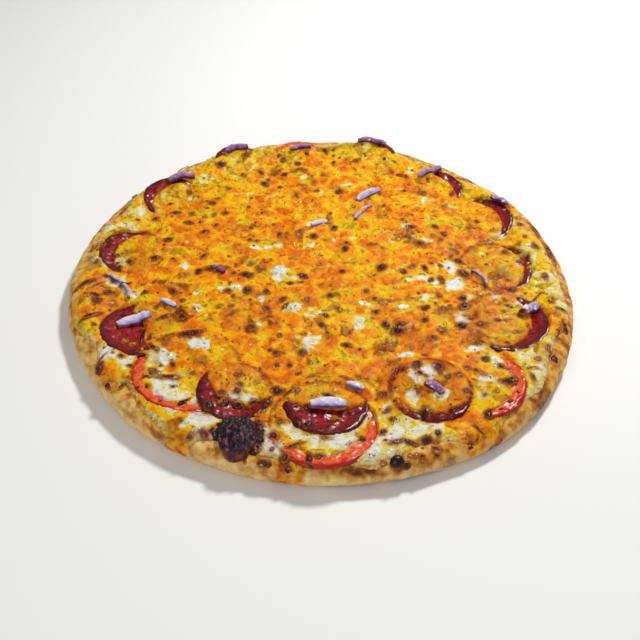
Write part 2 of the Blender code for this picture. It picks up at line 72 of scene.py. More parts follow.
def placeCamera():
    place, right, up, back = cameraAxes()
    data = bpy.data.cameras.new("view")
    data.sensor_width = camera["sensor"]
    data.lens = camera["focalPixels"] / camera["imagePixels"] * camera["sensor"]
    data.clip_start = 0.01
    seen = bpy.data.objects.new("view", data)
    scene.collection.objects.link(seen)
    turned = Matrix((right, up, back)).transposed().to_4x4()
    roll = Matrix.Rotation(math.radians(camera["roll"]), 4, "Z")
    seen.matrix_world = Matrix.Translation(place * mm) @ turned @ roll
    scene.camera = seen


def onPizza(px, py, height=14.5):
    # the spot on the pizza, in mm, that the photo shows at this pixel
    place, right, up, back = cameraAxes()
    half = camera["imagePixels"] / 2
    across = (px - half) / camera["focalPixels"]
    upward = (half - py) / camera["focalPixels"]
    roll = math.radians(-camera["roll"])
    x = across * math.cos(roll) + upward * math.sin(roll)
    y = -across * math.sin(roll) + upward * math.cos(roll)
    ray = right * x + up * y - back
    spot = place + ray * ((height - place.z) / ray.z)
    return spot.x, spot.y


placeCamera()

# Light and floor
studio = {
    "world": "#F4F4F4", "worldStrength": 0.28,
    "keyPlace": (0.34, 0.42, 0.78), "keySize": 0.15, "keyPower": 7.0,
    "fillPlace": (-0.3, -0.75, 0.65), "fillSize": 0.8, "fillPower": 2.7,
    "floor": "#F6F6F3", "floorSize": 3.0,
}


def linear(hexColour):
    # sRGB hex to the linear values that the shaders want
    values = [int(hexColour[i:i + 2], 16) / 255 for i in (1, 3, 5)]
    return (*[v / 12.92 if v <= 0.04045 else ((v + 0.055) / 1.055) ** 2.4 for v in values], 1.0)


def addNode(tree, kind, settings=None, inputs=None):
    # a node with its settings, and its inputs as values or as links from other sockets
    node = tree.nodes.new(kind)
    for key, value in (settings or {}).items():
        if key == "stops":
            while len(node.color_ramp.elements) < len(value):
                node.color_ramp.elements.new(0.5)
            for element, (at, colour) in zip(node.color_ramp.elements, value):
                element.position = at
                element.color = linear(colour) if isinstance(colour, str) else (colour,) * 3 + (1.0,)
        else:
            setattr(node, key, value)
    for key, value in (inputs or {}).items():
        socket = node.inputs[key]
        if isinstance(value, bpy.types.NodeSocket):
            tree.links.new(value, socket)
        else:
            socket.default_value = value
    return node


def newMaterial(name):
    material = bpy.data.materials.new(name)
    material.use_nodes = True
    tree = material.node_tree
    shader = tree.nodes["Principled BSDF"]
    return material, tree, shader


def attribute(tree, name):
    return addNode(tree, "ShaderNodeAttribute", {"attribute_name": name}).outputs["Fac"]


def objectPlace(tree):
    return addNode(tree, "ShaderNodeTexCoord").outputs["Object"]


def noise(tree, scale, detail, where):
    return addNode(tree, "ShaderNodeTexNoise", None, {
        "Vector": where, "Scale": scale, "Detail": detail}).outputs


def roundCells(tree, scale, where):
    return addNode(tree, "ShaderNodeTexVoronoi", {"feature": "F1"}, {
        "Vector": where, "Scale": scale}).outputs


def calc(tree, operation, *values):
    return addNode(tree, "ShaderNodeMath", {"operation": operation}, dict(enumerate(values))).outputs[0]


def between(tree, value, low, high, start=0.0, end=1.0):
    # how far the value is between low and high, as a number between start and end
    return addNode(tree, "ShaderNodeMapRange", None, {
        "Value": value, "From Min": low, "From Max": high, "To Min": start, "To Max": end}).outputs[0]


def mixed(tree, share, below, above):
    return addNode(tree, "ShaderNodeMixRGB", None, {
        "Fac": share, "Color1": below, "Color2": above}).outputs["Color"]


def shades(tree, value, *stops):
    return addNode(tree, "ShaderNodeValToRGB", {"stops": stops}, {"Fac": value}).outputs["Color"]


def dress(tree, shader, colour, roughness, shine):
    tree.links.new(colour, shader.inputs["Base Color"])
    shader.inputs["Roughness"].default_value = roughness
    shader.inputs["Specular IOR Level"].default_value = shine


def relieve(tree, shader, height, strength, depth):
    # fine relief from a height, depth in metres
    bump = addNode(tree, "ShaderNodeBump", None, {
        "Strength": strength, "Distance": depth, "Height": height}).outputs["Normal"]
    tree.links.new(bump, shader.inputs["Normal"])
    return bump


def lamp(name, place, size, power):
    data = bpy.data.lights.new(name, "AREA")
    data.shape = "DISK"
    data.size = size
    data.energy = power
    light = bpy.data.objects.new(name, data)
    scene.collection.objects.link(light)
    light.location = place
    light.rotation_euler = (-Vector(place)).to_track_quat("-Z", "Y").to_euler()


def buildStudio():
    scene.view_settings.view_transform = "Standard"
    scene.view_settings.look = "None"
    world = bpy.data.worlds.new("studio")
    scene.world = world
    world.use_nodes = True
    background = world.node_tree.nodes["Background"]
    background.inputs["Color"].default_value = linear(studio["world"])
    background.inputs["Strength"].default_value = studio["worldStrength"]
    lamp("keyLight", studio["keyPlace"], studio["keySize"], studio["keyPower"])
    lamp("fillLight", studio["fillPlace"], studio["fillSize"], studio["fillPower"])
    half = studio["floorSize"] / 2
    mesh = bpy.data.meshes.new("floor")
    corners = [(-half, -half, 0), (half, -half, 0), (half, half, 0), (-half, half, 0)]
    mesh.from_pydata(corners, [], [(0, 1, 2, 3)])
    floor = bpy.data.objects.new("floor", mesh)
    scene.collection.objects.link(floor)
    material, _, shader = newMaterial("matt painted board")
    shader.inputs["Base Color"].default_value = linear(studio["floor"])
    shader.inputs["Roughness"].default_value = 0.9
    mesh.materials.append(material)


buildStudio()
print("camera, lights and floor placed")

# Noise and charts: a chart holds one value for each half millimetre over the pizza. Surfaces are
# read within the reach, by rays that start above all of them
chart = {"half": 158.0, "cell": 0.5, "reach": 150.0, "above": 60.0}
cells = int(2 * chart["half"] / chart["cell"]) + 1
axis = np.linspace(-chart["half"], chart["half"], cells)
chartX, chartY = np.meshgrid(axis, axis)


def grain(x, y, size, seed, octaves=3):
    # smooth random values between 0 and 1, with features of about this size
    total = np.zeros(np.shape(x))
    weight = 1.0
    weights = 0.0
    for octave in range(octaves):
        lattice = np.random.default_rng(seed * 31 + octave).random((256, 256))
        u = x / size * 2 ** octave + 51.3
        v = y / size * 2 ** octave + 17.9
        i = np.floor(u).astype(int)
        j = np.floor(v).astype(int)
        s = u - i
        t = v - j
        s = s * s * (3 - 2 * s)
        t = t * t * (3 - 2 * t)
        low = lattice[j % 256, i % 256] * (1 - s) + lattice[j % 256, (i + 1) % 256] * s
        high = lattice[(j + 1) % 256, i % 256] * (1 - s) + lattice[(j + 1) % 256, (i + 1) % 256] * s
        total = total + weight * (low * (1 - t) + high * t)
        weights += weight
        weight *= 0.5
    return total / weights


def sample(values, x, y):
    # a chart's value at any spot, between its cells
    u = np.clip((np.asarray(x) + chart["half"]) / chart["cell"], 0, cells - 1.001)
    v = np.clip((np.asarray(y) + chart["half"]) / chart["cell"], 0, cells - 1.001)
    i = u.astype(int)
    j = v.astype(int)
    s = u - i
    t = v - j
    low = values[j, i] * (1 - s) + values[j, i + 1] * s
    high = values[j + 1, i] * (1 - s) + values[j + 1, i + 1] * s
    return low * (1 - t) + high * t


def blur(values, size):
    # spreads a chart by this many millimetres
    pitch = np.fft.fftfreq(cells, chart["cell"])
    pitchHalf = np.fft.rfftfreq(cells, chart["cell"])
    soften = np.exp(-2 * (math.pi * size) ** 2 * (pitch[:, None] ** 2 + pitchHalf[None, :] ** 2))
    return np.fft.irfft2(np.fft.rfft2(values) * soften, s=values.shape)


def ramp(value, low, high):
    share = np.clip((value - low) / (high - low), 0, 1)
    return share * share * (3 - 2 * share)


def window(x, y, reach):
    # the chart's cells round a spot
    low = [max(int((c - reach + chart["half"]) / chart["cell"]), 0) for c in (y, x)]
    high = [min(int((c + reach + chart["half"]) / chart["cell"]) + 2, cells) for c in (y, x)]
    return slice(low[0], high[0]), slice(low[1], high[1])


def alongAside(x, y, turn):
    # distances along and across a direction
    return x * math.cos(turn) + y * math.sin(turn), y * math.cos(turn) - x * math.sin(turn)


def ovalShare(x, y, patch, size, turn, rough, seed):
    # 0 at the middle of an oval, 1 at its edge, with the edge made uneven by rough
    along, aside = alongAside(chartX[patch] - x, chartY[patch] - y, turn)
    share = np.hypot(along / (size[0] / 2), aside / (size[1] / 2))
    return share + rough * (grain(chartX[patch], chartY[patch], 3.0, seed, 2) - 0.5)


def angleApart(angle, heading):
    # how far angles in radians are from a heading in degrees
    return np.remainder(angle - math.radians(heading) + math.pi, math.tau) - math.pi


def runShare(angle, heading, spread):
    # 1 along the middle of a run of cheese, less to either side
    return np.exp(-(angleApart(angle, heading) / math.radians(spread)) ** 2)


# Dough: a low rounded rim round a flat bed, the same form as the solid
dough = {
    "radius": 152.5, "rimHalfWidth": 9.0, "slope": 22.0, "rimHeight": 14.4, "bed": 9.5,
    "edgeWaves": ((2, 1.0, 0.6), (3, 0.8, 2.1), (5, 0.6, 4.0), (9, 0.3, 1.3)),
    "rimWaves": ((3, 0.5, 1.0), (7, 0.5, 3.0)),
    "around": 720, "outerSteps": 44, "slopeSteps": 22,
    "lump": 0.7, "craze": 0.25,
    "cheeseRuns": ((-118.7, 1.6, 4.0), (-117.0, 0.7, 1.5), (-96.5, 1.6, 3.5), (-93.5, 1.1, 1.0),
                   (-57.5, 2.0, 6.0), (-53.0, 1.4, 8.0)),
}


def waveSum(waves, angle):
    return sum(size * np.cos(count * angle + start) for count, size, start in waves)


def edgeRadius(angle):
    return dough["radius"] + waveSum(dough["edgeWaves"], angle)


def rimHeight(angle):
    return dough["rimHeight"] + waveSum(dough["rimWaves"], angle)


def doughTop(x, y):
    angle = np.arctan2(y, x)
    far = np.hypot(x, y)
    crown = edgeRadius(angle) - dough["rimHalfWidth"]
    inward = np.clip((crown - far) / dough["slope"], 0, 1)
    inner = dough["bed"] + (rimHeight(angle) - dough["bed"]) * (0.5 + 0.5 * np.cos(math.pi * inward))
    outward = np.clip((far - crown) / dough["rimHalfWidth"], 0, 1)
    outer = rimHeight(angle) / 2 * (1 + np.sqrt(1 - outward ** 2))
    return np.where(far > crown, outer, inner)


def meshFrom(name, points, faces, material, attributes=None):
    # a piece from points in mm, with one value at each point for each attribute
    mesh = bpy.data.meshes.new(name)
    points = np.asarray(points, float) * mm
    mesh.from_pydata(points.tolist(), [], faces)
    for key, values in (attributes or {}).items():
        layer = mesh.attributes.new(key, "FLOAT", "POINT")
        layer.data.foreach_set("value", np.asarray(values, np.float32))
    mesh.materials.append(material)
    mesh.shade_smooth()
    piece = bpy.data.objects.new(name, mesh)
    scene.collection.objects.link(piece)
    return piece


def quads(rings, count, first=0):
    # faces between rings of points that follow one another
    ring, step = np.meshgrid(np.arange(rings - 1), np.arange(count), indexing="ij")
    a = first + ring * count + step
    b = first + ring * count + (step + 1) % count
    return np.stack([a, b, b + count, a + count], -1).reshape(-1, 4).tolist()


def settle(piece, node):
    # the piece stands for its solid and moves with it
    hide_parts(node)
    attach(piece, "root")


def bakedDough():
    # Bread dough, stretched by hand and baked on a floured stone: matt, golden where oil ran over
    # it, pinkish brown where it caught the heat, darker at its foot with painted shade, dusted with
    # grey flour low down
    material, tree, shader = newMaterial("baked pizza dough")
    place = objectPlace(tree)
    fine = noise(tree, 900.0, 4.0, place)["Fac"]
    wide = noise(tree, 230.0, 7.0, place)["Fac"]
    shade = calc(tree, "MULTIPLY_ADD", wide, 0.75, calc(tree, "SUBTRACT", attribute(tree, "bake"), 0.1))
    colour = shades(tree, shade, (0.2, "#F0D694"), (0.36, "#E6B768"), (0.5, "#D09242"),
                    (0.64, "#AC6628"), (0.8, "#743614"), (1.0, "#140606"))
    golden = shades(tree, wide, (0.34, "#E2B23C"), (0.48, "#CC8C1C"), (0.58, "#A86210"), (0.7, "#8A4410"))
    colour = mixed(tree, calc(tree, "MULTIPLY", attribute(tree, "oil"), 0.85), colour, golden)
    cheesy = shades(tree, wide, (0.36, "#EEB424"), (0.48, "#E4900E"), (0.6, "#C86808"), (0.72, "#7E3408"))
    colour = mixed(tree, attribute(tree, "run"), colour, cheesy)
    dust = calc(tree, "MULTIPLY", attribute(tree, "flour"), between(tree, fine, 0.44, 0.6, 0.05, 0.8))
    colour = mixed(tree, dust, colour, linear("#E6CCA0"))
    dress(tree, shader, colour, 0.7, 0.25)
    relieve(tree, shader, wide, 0.9, 0.001)
    return material


# Places on the rim that caught the heat: x, y, width and depth in mm, turn, strength
rimSmudges = (
    (81.0, -121.0, 16, 7, 50, 0.42), (117.0, -91.0, 18, 7, 60, 0.4), (-72.0, -129.0, 12, 5, -30, 0.15),
    (22.0, -146.0, 26, 6, 5, 0.42), (55.0, -138.0, 20, 6, 25, 0.4), (-112.0, -96.0, 22, 5, -45, 0.12),
    (-146.0, -20.0, 6, 20, 0, 0.35), (144.0, 30.0, 7, 26, 10, 0.45), (138.0, 52.0, 6, 24, 20, 0.4),
)

# The burnt black bubble: x, y and width in mm
blackBubble = (40.0, -141.0, 7.4)


def buildCrust():
    d = dough
    angle = np.arange(d["around"]) * math.tau / d["around"]
    crown = edgeRadius(angle) - d["rimHalfWidth"]
    tall = rimHeight(angle)
    rings = []
    for step in range(d["outerSteps"] + 1):
        turn = math.pi * (step / d["outerSteps"] - 0.5)
        far = crown + d["rimHalfWidth"] * math.cos(turn)
        height = tall / 2 * (1 + math.sin(turn))
        rings.append((far, height, math.cos(turn), math.sin(turn)))
    for step in range(1, d["slopeSteps"] + 1):
        far = crown - (d["slope"] + 4) * step / d["slopeSteps"]
        height = doughTop(far * np.cos(angle), far * np.sin(angle))
        rings.append((far, height, 0.0, 1.0))
    points = []
    layers = {"bake": [], "flour": [], "oil": [], "run": []}
    for far, height, outward, upward in rings:
        x = far * np.cos(angle)
        y = far * np.sin(angle)
        lump = (grain(x + height, y + height * 0.7, 10.0, 7) - 0.5) * 2 * d["lump"]
        lump = lump + (grain(x + height * 1.3, y - height, 2.4, 8, 3) - 0.5) * 2 * d["craze"]
        brown = 0.05 + 0.45 * ramp(grain(x + height, y - height, 13.0, 9, 4), 0.5, 0.82)
        # the lowest 4 mm is browner: partly baked colour, partly painted shade along the foot of the rim
        brown = brown + 0.2 * ramp(height, 4.0, 0.0) + 0.12 * ramp(x, 40.0, 130.0)
        for sx, sy, wide, deep, turn, strength in rimSmudges:
            along, aside = alongAside(x - sx, y - sy, math.radians(turn))
            share = np.hypot(along / wide * 2, aside / deep * 2) + 0.8 * (grain(x, y, 3.0, 13) - 0.5)
            brown = brown + strength * ramp(share, 1.3, 0.3)
        # the burnt bubble
        bx, by, wide = blackBubble
        share = np.hypot(x - bx, y - by) / (wide / 2)
        lump = lump + np.clip(1 - share ** 2, 0, 1) ** 0.7 * wide * 0.32 * ramp(height, 4.0, 9.0)
        brown = brown + 0.5 * ramp(share, 1.5, 0.9)
        # oil from the cheese on the upper side, and thin cheese that ran down
        upper = ramp(height, tall * 0.55, tall * 0.95)
        stain = upper * ramp(grain(x - height, y + height, 6.0, 12, 3), 0.36, 0.6)
        stain = stain + ramp(crown - far, -7.0, 2.0) * 0.6
        flow = 0 * x
        for heading, spread, lowest in d["cheeseRuns"]:
            apart = np.degrees(angleApart(angle, heading))
            apart = apart + 1.2 * (grain(x + height, y + height, 4.0, 14) - 0.5)
            beside = ramp(np.abs(apart) / spread, 1.2, 0.7)
            flow = np.maximum(flow, beside * ramp(height, lowest, lowest + 2))
        hold = np.clip(height / 1.5, 0, 1)
        far = far + lump * outward * hold
        height = np.maximum(height + lump * upward * hold, 0)
        points.append(np.stack([far * np.cos(angle), far * np.sin(angle), height + 0 * far], -1))
        dusty = ramp(height, 12.0, 5.0) * ramp(grain(x - height, y + height, 5.0, 10), 0.25, 0.6)
        layers["bake"].append(np.clip(brown, 0, 1))
        layers["flour"].append(dusty * (1 - flow))
        layers["oil"].append(np.clip(stain, 0, 1) * ramp(share, 0.9, 1.6))
        layers["run"].append(flow)
    count = d["around"]
    faces = quads(len(rings), count)
    faces.append(list(range(count))[::-1])
    last = (len(rings) - 1) * count
    faces.append(list(range(last, last + count)))
    values = {key: np.concatenate(rows) for key, rows in layers.items()}
    piece = meshFrom("crust_dough", np.concatenate(points), faces, bakedDough(), values)
    settle(piece, "crust")


buildCrust()
print("crust built")


def nodesOf(*kinds):
    return sorted(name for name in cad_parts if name.startswith(kinds))


def roundOf(name):
    # a slice's middle and radius in mm
    low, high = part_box(name)
    x = (low[0] + high[0]) / 2 / mm
    y = (low[1] + high[1]) / 2 / mm
    return x, y, (high[0] - low[0] + high[1] - low[1]) / 4 / mm


def treeOf(names):
    # the solids' surfaces in mm, for rays
    points = []
    faces = []
    for name in names:
        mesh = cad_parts[name].data
        base = len(points)
        points += [v.co / mm for v in mesh.vertices]
        faces += [tuple(base + i for i in p.vertices) for p in mesh.polygons]
    return BVHTree.FromPolygons(points, faces)


def heightChart(tree, pitch=1.0):
    # the highest surface under each spot of a coarse chart, read at the nearest spot
    spots = np.arange(-chart["half"], chart["half"] + pitch, pitch)
    found = np.full((len(spots), len(spots)), np.nan)
    for j, y in enumerate(spots):
        for i, x in enumerate(spots):
            if x * x + y * y > chart["reach"] ** 2:
                continue
            hit = tree.ray_cast(Vector((x, y, chart["above"])), Vector((0, 0, -1)))[0]
            if hit:
                found[j, i] = hit.z
    column = np.clip(np.rint((axis + chart["half"]) / pitch).astype(int), 0, len(spots) - 1)
    return found[np.ix_(column, column)]


# What lies under or in the cheese. The collar is a bank of cheese close round every slice
sliceNames = nodesOf("salami", "tomato")
sliceTop = heightChart(treeOf(sliceNames))
solidCheese = heightChart(treeOf(["cheese"]))
doughChart = doughTop(chartX, chartY)
angleChart = np.arctan2(chartY, chartX)
farChart = np.hypot(chartX, chartY)
insideSlice = np.zeros(chartX.shape, bool)
collar = np.full(chartX.shape, -50.0)
for name in sliceNames:
    sx, sy, wide = roundOf(name)
    gap = np.hypot(chartX - sx, chartY - sy) - wide
    insideSlice |= gap < -0.3
    lowTop = np.nanmean(np.where(np.abs(gap + 2) < 1, sliceTop, np.nan))
    near = lowTop - 0.35 - 0.3 * np.maximum(gap, 0)
    collar = np.where((gap > -1) & (gap < 6), np.maximum(collar, near), collar)
sliceTop = np.where(insideSlice, sliceTop, np.nan)
onSlice = ~np.isnan(sliceTop)
bareRaw = onSlice & (np.isnan(solidCheese) | (solidCheese < sliceTop))
chickenTop = heightChart(treeOf(nodesOf("chicken")), 1.5)
onionTop = heightChart(treeOf(nodesOf("onion")))
print("slices read:", len(sliceNames))

# Cheese: orange cheddar shreds melted into white cheese and ranch
cheese = {
    "margin": 6.8, "thickness": 4.0, "edgeThickness": 0.5, "taper": 13.0, "cover": 1.2,
    "waves": ((9, 2.0, 0.4), (16, 1.7, 2.9), (27, 1.0, 5.0)),
    "runs": ((-118.7, 7.0, 3.0), (-95.0, 7.0, 2.6), (-56.0, 7.0, 4.0), (-175.0, 5.0, 5.0),
             (-163.0, 4.0, 5.0), (-143.0, 5.0, 4.0), (-17.0, 4.0, 4.0), (30.0, 4.0, 3.0)),
    "shreds": 1900, "shredLength": (9.0, 22.0), "shredWidth": (2.6, 5.0), "shredSeed": 12,
    "shredReach": 147.0, "shredBow": (-0.25, 0.25), "shredStrength": (0.15, 0.6),
    "orangeTone": (0.62, 0.95), "paleTone": (0.1, 0.42),
    "relief": 0.9, "lump": 2.6, "grid": 300,
    "bead": 2.6, "tuck": 0.97, "underside": 7.5,
}

# White pools: pixel across and down, width and depth in mm, turn in degrees
whitePools = (
    (280, 271, 7, 12, 0), (295, 275, 5, 3, 0), (221, 287, 6, 3, 0), (238, 286, 9, 4, 0),
    (261, 298, 5, 4, 0), (295, 307, 9, 5, 10), (311, 314, 11, 5, 15), (198, 308, 10, 4, -40),
    (184, 265, 6, 5, 0), (310, 245, 6, 6, 0), (269, 246, 5, 3, 0), (253, 247, 7, 4, 0),
    (367, 303, 9, 4, -35), (425, 297, 9, 4, 30), (451, 266, 11, 14, 0), (456, 284, 15, 9, 20),
    (423, 276, 10, 5, 0), (434, 280, 7, 4, 0), (408, 278, 6, 3, -50), (425, 240, 6, 4, 0),
    (360, 323, 6, 9, 0), (463, 318, 9, 9, 0), (403, 305, 5, 5, 0), (206, 178, 9, 8, 0),
    (212, 163, 10, 5, 30), (189, 166, 9, 6, 20), (263, 149, 15, 6, 0), (279, 146, 6, 5, 0),
    (234, 176, 8, 4, -20), (249, 166, 7, 6, 0), (240, 193, 16, 3, 10), (272, 196, 12, 4, 40),
    (303, 177, 6, 8, 0), (322, 191, 6, 7, 0), (318, 222, 12, 5, 10), (189, 197, 8, 5, 0),
    (340, 144, 14, 5, 0), (350, 186, 10, 6, 0), (429, 199, 14, 7, 35), (454, 206, 11, 5, -40),
    (399, 189, 8, 5, 0), (409, 172, 8, 7, 0), (422, 156, 13, 7, 0), (443, 165, 18, 6, -35),
    (406, 225, 7, 5, 0), (108, 358, 14, 9, 0), (124, 364, 12, 9, 0), (166, 384, 15, 15, 0),
    (160, 358, 14, 10, 0), (201, 345, 8, 7, 0), (309, 340, 12, 10, 30), (196, 404, 11, 14, 0),
    (263, 433, 8, 11, 0), (272, 449, 14, 9, 0), (294, 432, 13, 11, 0), (210, 423, 8, 8, 0),
    (426, 374, 14, 7, 0), (417, 372, 6, 6, 0), (416, 375, 7, 10, 0), (496, 362, 8, 9, 0),
    (478, 348, 12, 5, 10), (439, 397, 7, 8, 0), (346, 433, 13, 11, 0), (317, 443, 12, 9, 0),
    (365, 419, 5, 9, 0), (388, 410, 4, 5, 0), (436, 429, 12, 7, -20), (413, 398, 7, 8, 0),
    (524, 300, 8, 7, 0), (114, 280, 9, 9, 0), (129, 293, 9, 7, 0), (130, 205, 9, 6, 30),
    (500, 235, 9, 5, -30), (200, 340, 7, 6, 0), (199, 341, 9, 5, 0), (234, 396, 8, 6, 0),
    (247, 397, 9, 8, 0), (328, 398, 9, 6, 0), (498, 295, 8, 4, 40), (468, 296, 6, 5, 60),
    (170, 400, 12, 6, 0), (196, 424, 11, 12, 0), (204, 438, 10, 8, 0), (189, 446, 7, 6, 0),
    (402, 355, 6, 4, 0), (410, 353, 6, 4, 0), (488, 378, 10, 5, 0),
)

# Patches that baked browner: pixel, width and depth in mm, turn, strength
brownPatches = (
    (500, 283, 26, 20, 0, 0.5), (400, 322, 13, 9, 0, 0.7), (487, 327, 38, 24, 0, 0.35),
    (191, 334, 14, 9, 10, 0.8), (168, 316, 18, 9, 10, 0.9), (240, 385, 20, 12, -10, 0.4),
    (430, 388, 34, 26, 0, 0.7), (345, 255, 20, 14, 0, 0.25), (300, 300, 34, 22, 0, 0.2),
    (380, 345, 12, 12, 0, 0.4), (130, 250, 18, 16, 0, 0.4), (290, 170, 16, 12, 0, 0.4),
    (375, 215, 14, 10, 0, 0.4), (355, 350, 12, 6, 0, 0.4), (330, 240, 14, 8, 0, 0.3),
    (320, 375, 24, 14, 0, 0.45), (402, 325, 20, 10, 0, 0.6), (217, 268, 12, 7, 0, 0.8),
    (251, 327, 10, 8, 0, 0.6), (420, 243, 10, 7, 0, 0.6), (445, 330, 16, 8, 0, 0.5),
)

# Slices whose rims show through the cheese: how strongly, and how brown the cheese over them is
rimsThrough = {
    "salami_10": (0.95, 0.35), "salami_09": (0.5, 0.3), "salami_11": (0.9, 0.3),
    "salami_08": (0.6, 0.3), "salami_07": (0.4, 0.15), "salami_12": (0.55, 0.25),
    "salami_01": (0.35, 0.3), "salami_02": (0.45, 0.3), "salami_03": (0.3, 0.25),
    "tomato_02": (0.3, 0.0), "tomato_03": (0.6, 0.05), "tomato_04": (0.5, 0.0),
}

# Cheese that lies over slices: pixel, width and depth in mm
cheeseOver = (
    (164, 324, 22, 26), (161, 350, 20, 22), (133, 343, 5, 3), (443, 368, 44, 20), (300, 401, 9, 6),
    (352, 400, 9, 7), (238, 388, 22, 12), (222, 402, 5, 4), (250, 405, 5, 4), (335, 420, 5, 3),
    (142, 305, 12, 10), (390, 392, 9, 22), (472, 380, 7, 24), (400, 409, 12, 9), (470, 402, 8, 12),
    (271, 432, 8, 14), (280, 450, 9, 9),
)

# How much of each bare slice is dotted with bits of cheese, where that isn't all of it
crumbsOn = {"salami_01": 0.0, "salami_02": 0.3, "salami_03": 0.3, "salami_04": 0.2, "salami_05": 0.2,
            "salami_06": 0.3, "salami_07": 0.3, "salami_09": 0.15, "salami_11": 0.3, "salami_12": 0.5,
            "tomato_02": 0.7, "tomato_03": 0.6, "tomato_04": 0.6}


def cheeseEdge(angle):
    reach = edgeRadius(angle) - cheese["margin"] + waveSum(cheese["waves"], angle)
    for heading, more, spread in cheese["runs"]:
        reach = reach + more * runShare(angle, heading, spread)
    return np.minimum(reach, edgeRadius(angle) - 2.2)


inward = cheeseEdge(angleChart) - farChart
warpX = chartX + 14 * (grain(chartX, chartY, 24.0, 61) - 0.5) + 5 * (grain(chartX, chartY, 7.0, 62) - 0.5)
warpY = chartY + 14 * (grain(chartX, chartY, 24.0, 63) - 0.5) + 5 * (grain(chartX, chartY, 7.0, 64) - 0.5)


def layShreds():
    # lays shreds one over another: how orange each spot is, and how high the shreds stand
    draw = np.random.default_rng(cheese["shredSeed"])
    orange = 0.62 + 1.1 * (grain(warpX, warpY, 15.0, 21, 4) - 0.5)
    veins = 1 - ramp(np.abs(grain(warpX, warpY, 20.0, 27, 3) - 0.5), 0.0, 0.045)
    orange = orange - 0.5 * veins
    relief = np.full_like(orange, 0.4)
    drift = grain(chartX, chartY, 26.0, 22, 2)
    for _ in range(cheese["shreds"]):
        far = cheese["shredReach"] * math.sqrt(draw.random())
        angle = draw.random() * math.tau
        x = far * math.cos(angle)
        y = far * math.sin(angle)
        length = draw.uniform(*cheese["shredLength"])
        wide = draw.uniform(*cheese["shredWidth"])
        turn = draw.random() * math.pi
        bow = draw.uniform(*cheese["shredBow"]) * length
        chance = 0.72 - 0.4 * float(ramp(far, 92.0, 132.0))
        chance += 0.7 * (float(sample(drift, x, y)) - 0.5)
        isOrange = draw.random() < chance
        tone = draw.uniform(*cheese["orangeTone" if isOrange else "paleTone"])
        strength = draw.uniform(*cheese["shredStrength"])
        patch = window(x, y, length * 0.6 + wide)
        along, aside = alongAside(warpX[patch] - x, warpY[patch] - y, turn)
        aside = aside - bow * (1 - (2 * along / length) ** 2)
        beyond = np.maximum(np.abs(along) - length / 2, 0)
        share = np.hypot(beyond, aside) / (wide / 2)
        cover = strength * ramp(share, 1.4, 0.4)
        orange[patch] += (tone - orange[patch]) * cover
        relief[patch] += (np.sqrt(np.clip(1 - share ** 2, 0, 1)) - relief[patch]) * cover
    for heading, _, spread in cheese["runs"]:
        run = runShare(angleChart, heading, spread * 1.1) * ramp(inward, 26.0, 14.0)
        orange += (0.85 - orange) * run
    rimward = ramp(inward, 26.0, 6.0)
    orange = orange - 0.22 * rimward
    return blur(np.clip(orange, 0, 1), 0.5), blur(relief, 0.5)


def layPools():
    # where the white cheese and ranch lie open, less of them farther away
    white = np.zeros_like(chartX)
    nearer = 1 - 0.55 * ramp(chartY, 20.0, 100.0) - 0.25 * ramp(chartX, 90.0, 125.0)
    for px, py, wide, deep, turn in whitePools:
        x, y = onPizza(px, py)
        patch = window(x, y, max(wide, deep) * 1.2)
        share = ovalShare(x, y, patch, (wide * 1.2, deep * 1.2), math.radians(turn), 1.9, px)
        white[patch] = np.maximum(white[patch], ramp(share, 1.35, 0.35))
    # near the rim the white cheese shows between the slices, and bits of it in the middle
    rimward = ramp(inward, 34.0, 12.0) * ramp(grain(warpX, warpY, 12.0, 25, 4), 0.47, 0.56)
    bits = ramp(grain(warpX, warpY, 6.0, 26, 2), 0.78, 0.92) * 0.6
    for heading, _, spread in cheese["runs"]:
        rimward = rimward * (1 - runShare(angleChart, heading, spread * 1.1))
    return np.maximum(white, np.maximum(0.65 * rimward, bits)) * nearer


def layThin():
    # where the cheese thins out to nothing over the dough
    thin = ramp(inward, 6.0, 0.5) * (0.45 + 0.9 * ramp(grain(warpX, warpY, 8.0, 29, 3), 0.35, 0.6))
    for heading, _, spread in cheese["runs"]:
        thin = thin * (1 - runShare(angleChart, heading, spread * 1.2))
    return np.clip(thin, 0, 1)


def layToast():
    # olive brown where the cheese is oily, thin or toasted
    toast = 0.5 * ramp(grain(warpX, warpY, 11.0, 31, 4), 0.5, 0.72)
    for px, py, wide, deep, turn, strength in brownPatches:
        x, y = onPizza(px, py)
        patch = window(x, y, max(wide, deep))
        share = ovalShare(x, y, patch, (wide, deep), math.radians(turn), 1.2, px)
        toast[patch] = np.maximum(toast[patch], strength * ramp(share, 1.25, 0.35))
    return toast * (0.3 + 0.9 * ramp(grain(chartX, chartY, 4.5, 33), 0.35, 0.62))


def layRims():
    # the rims of slices under the cheese, and the cheese over them
    red = np.zeros_like(chartX)
    tan = np.zeros_like(chartX)
    for name, (strength, toasted) in rimsThrough.items():
        x, y, wide = roundOf(name)
        gap = np.hypot(chartX - x, chartY - y) - wide
        uneven = 0.35 + 0.9 * ramp(grain(chartX, chartY, 9.0, 110 + int(name[-2:])), 0.35, 0.6)
        band = np.exp(-((gap + 1.6) / 1.5) ** 2) + 0.3 * ramp(gap, 0.5, -1) * ramp(gap, -9, -2)
        red = np.maximum(red, strength * band * uneven)
        tan = np.maximum(tan, toasted * ramp(gap, 0.5, -1.5) * (0.5 + 0.5 * uneven))
    return np.clip(red, 0, 1), tan


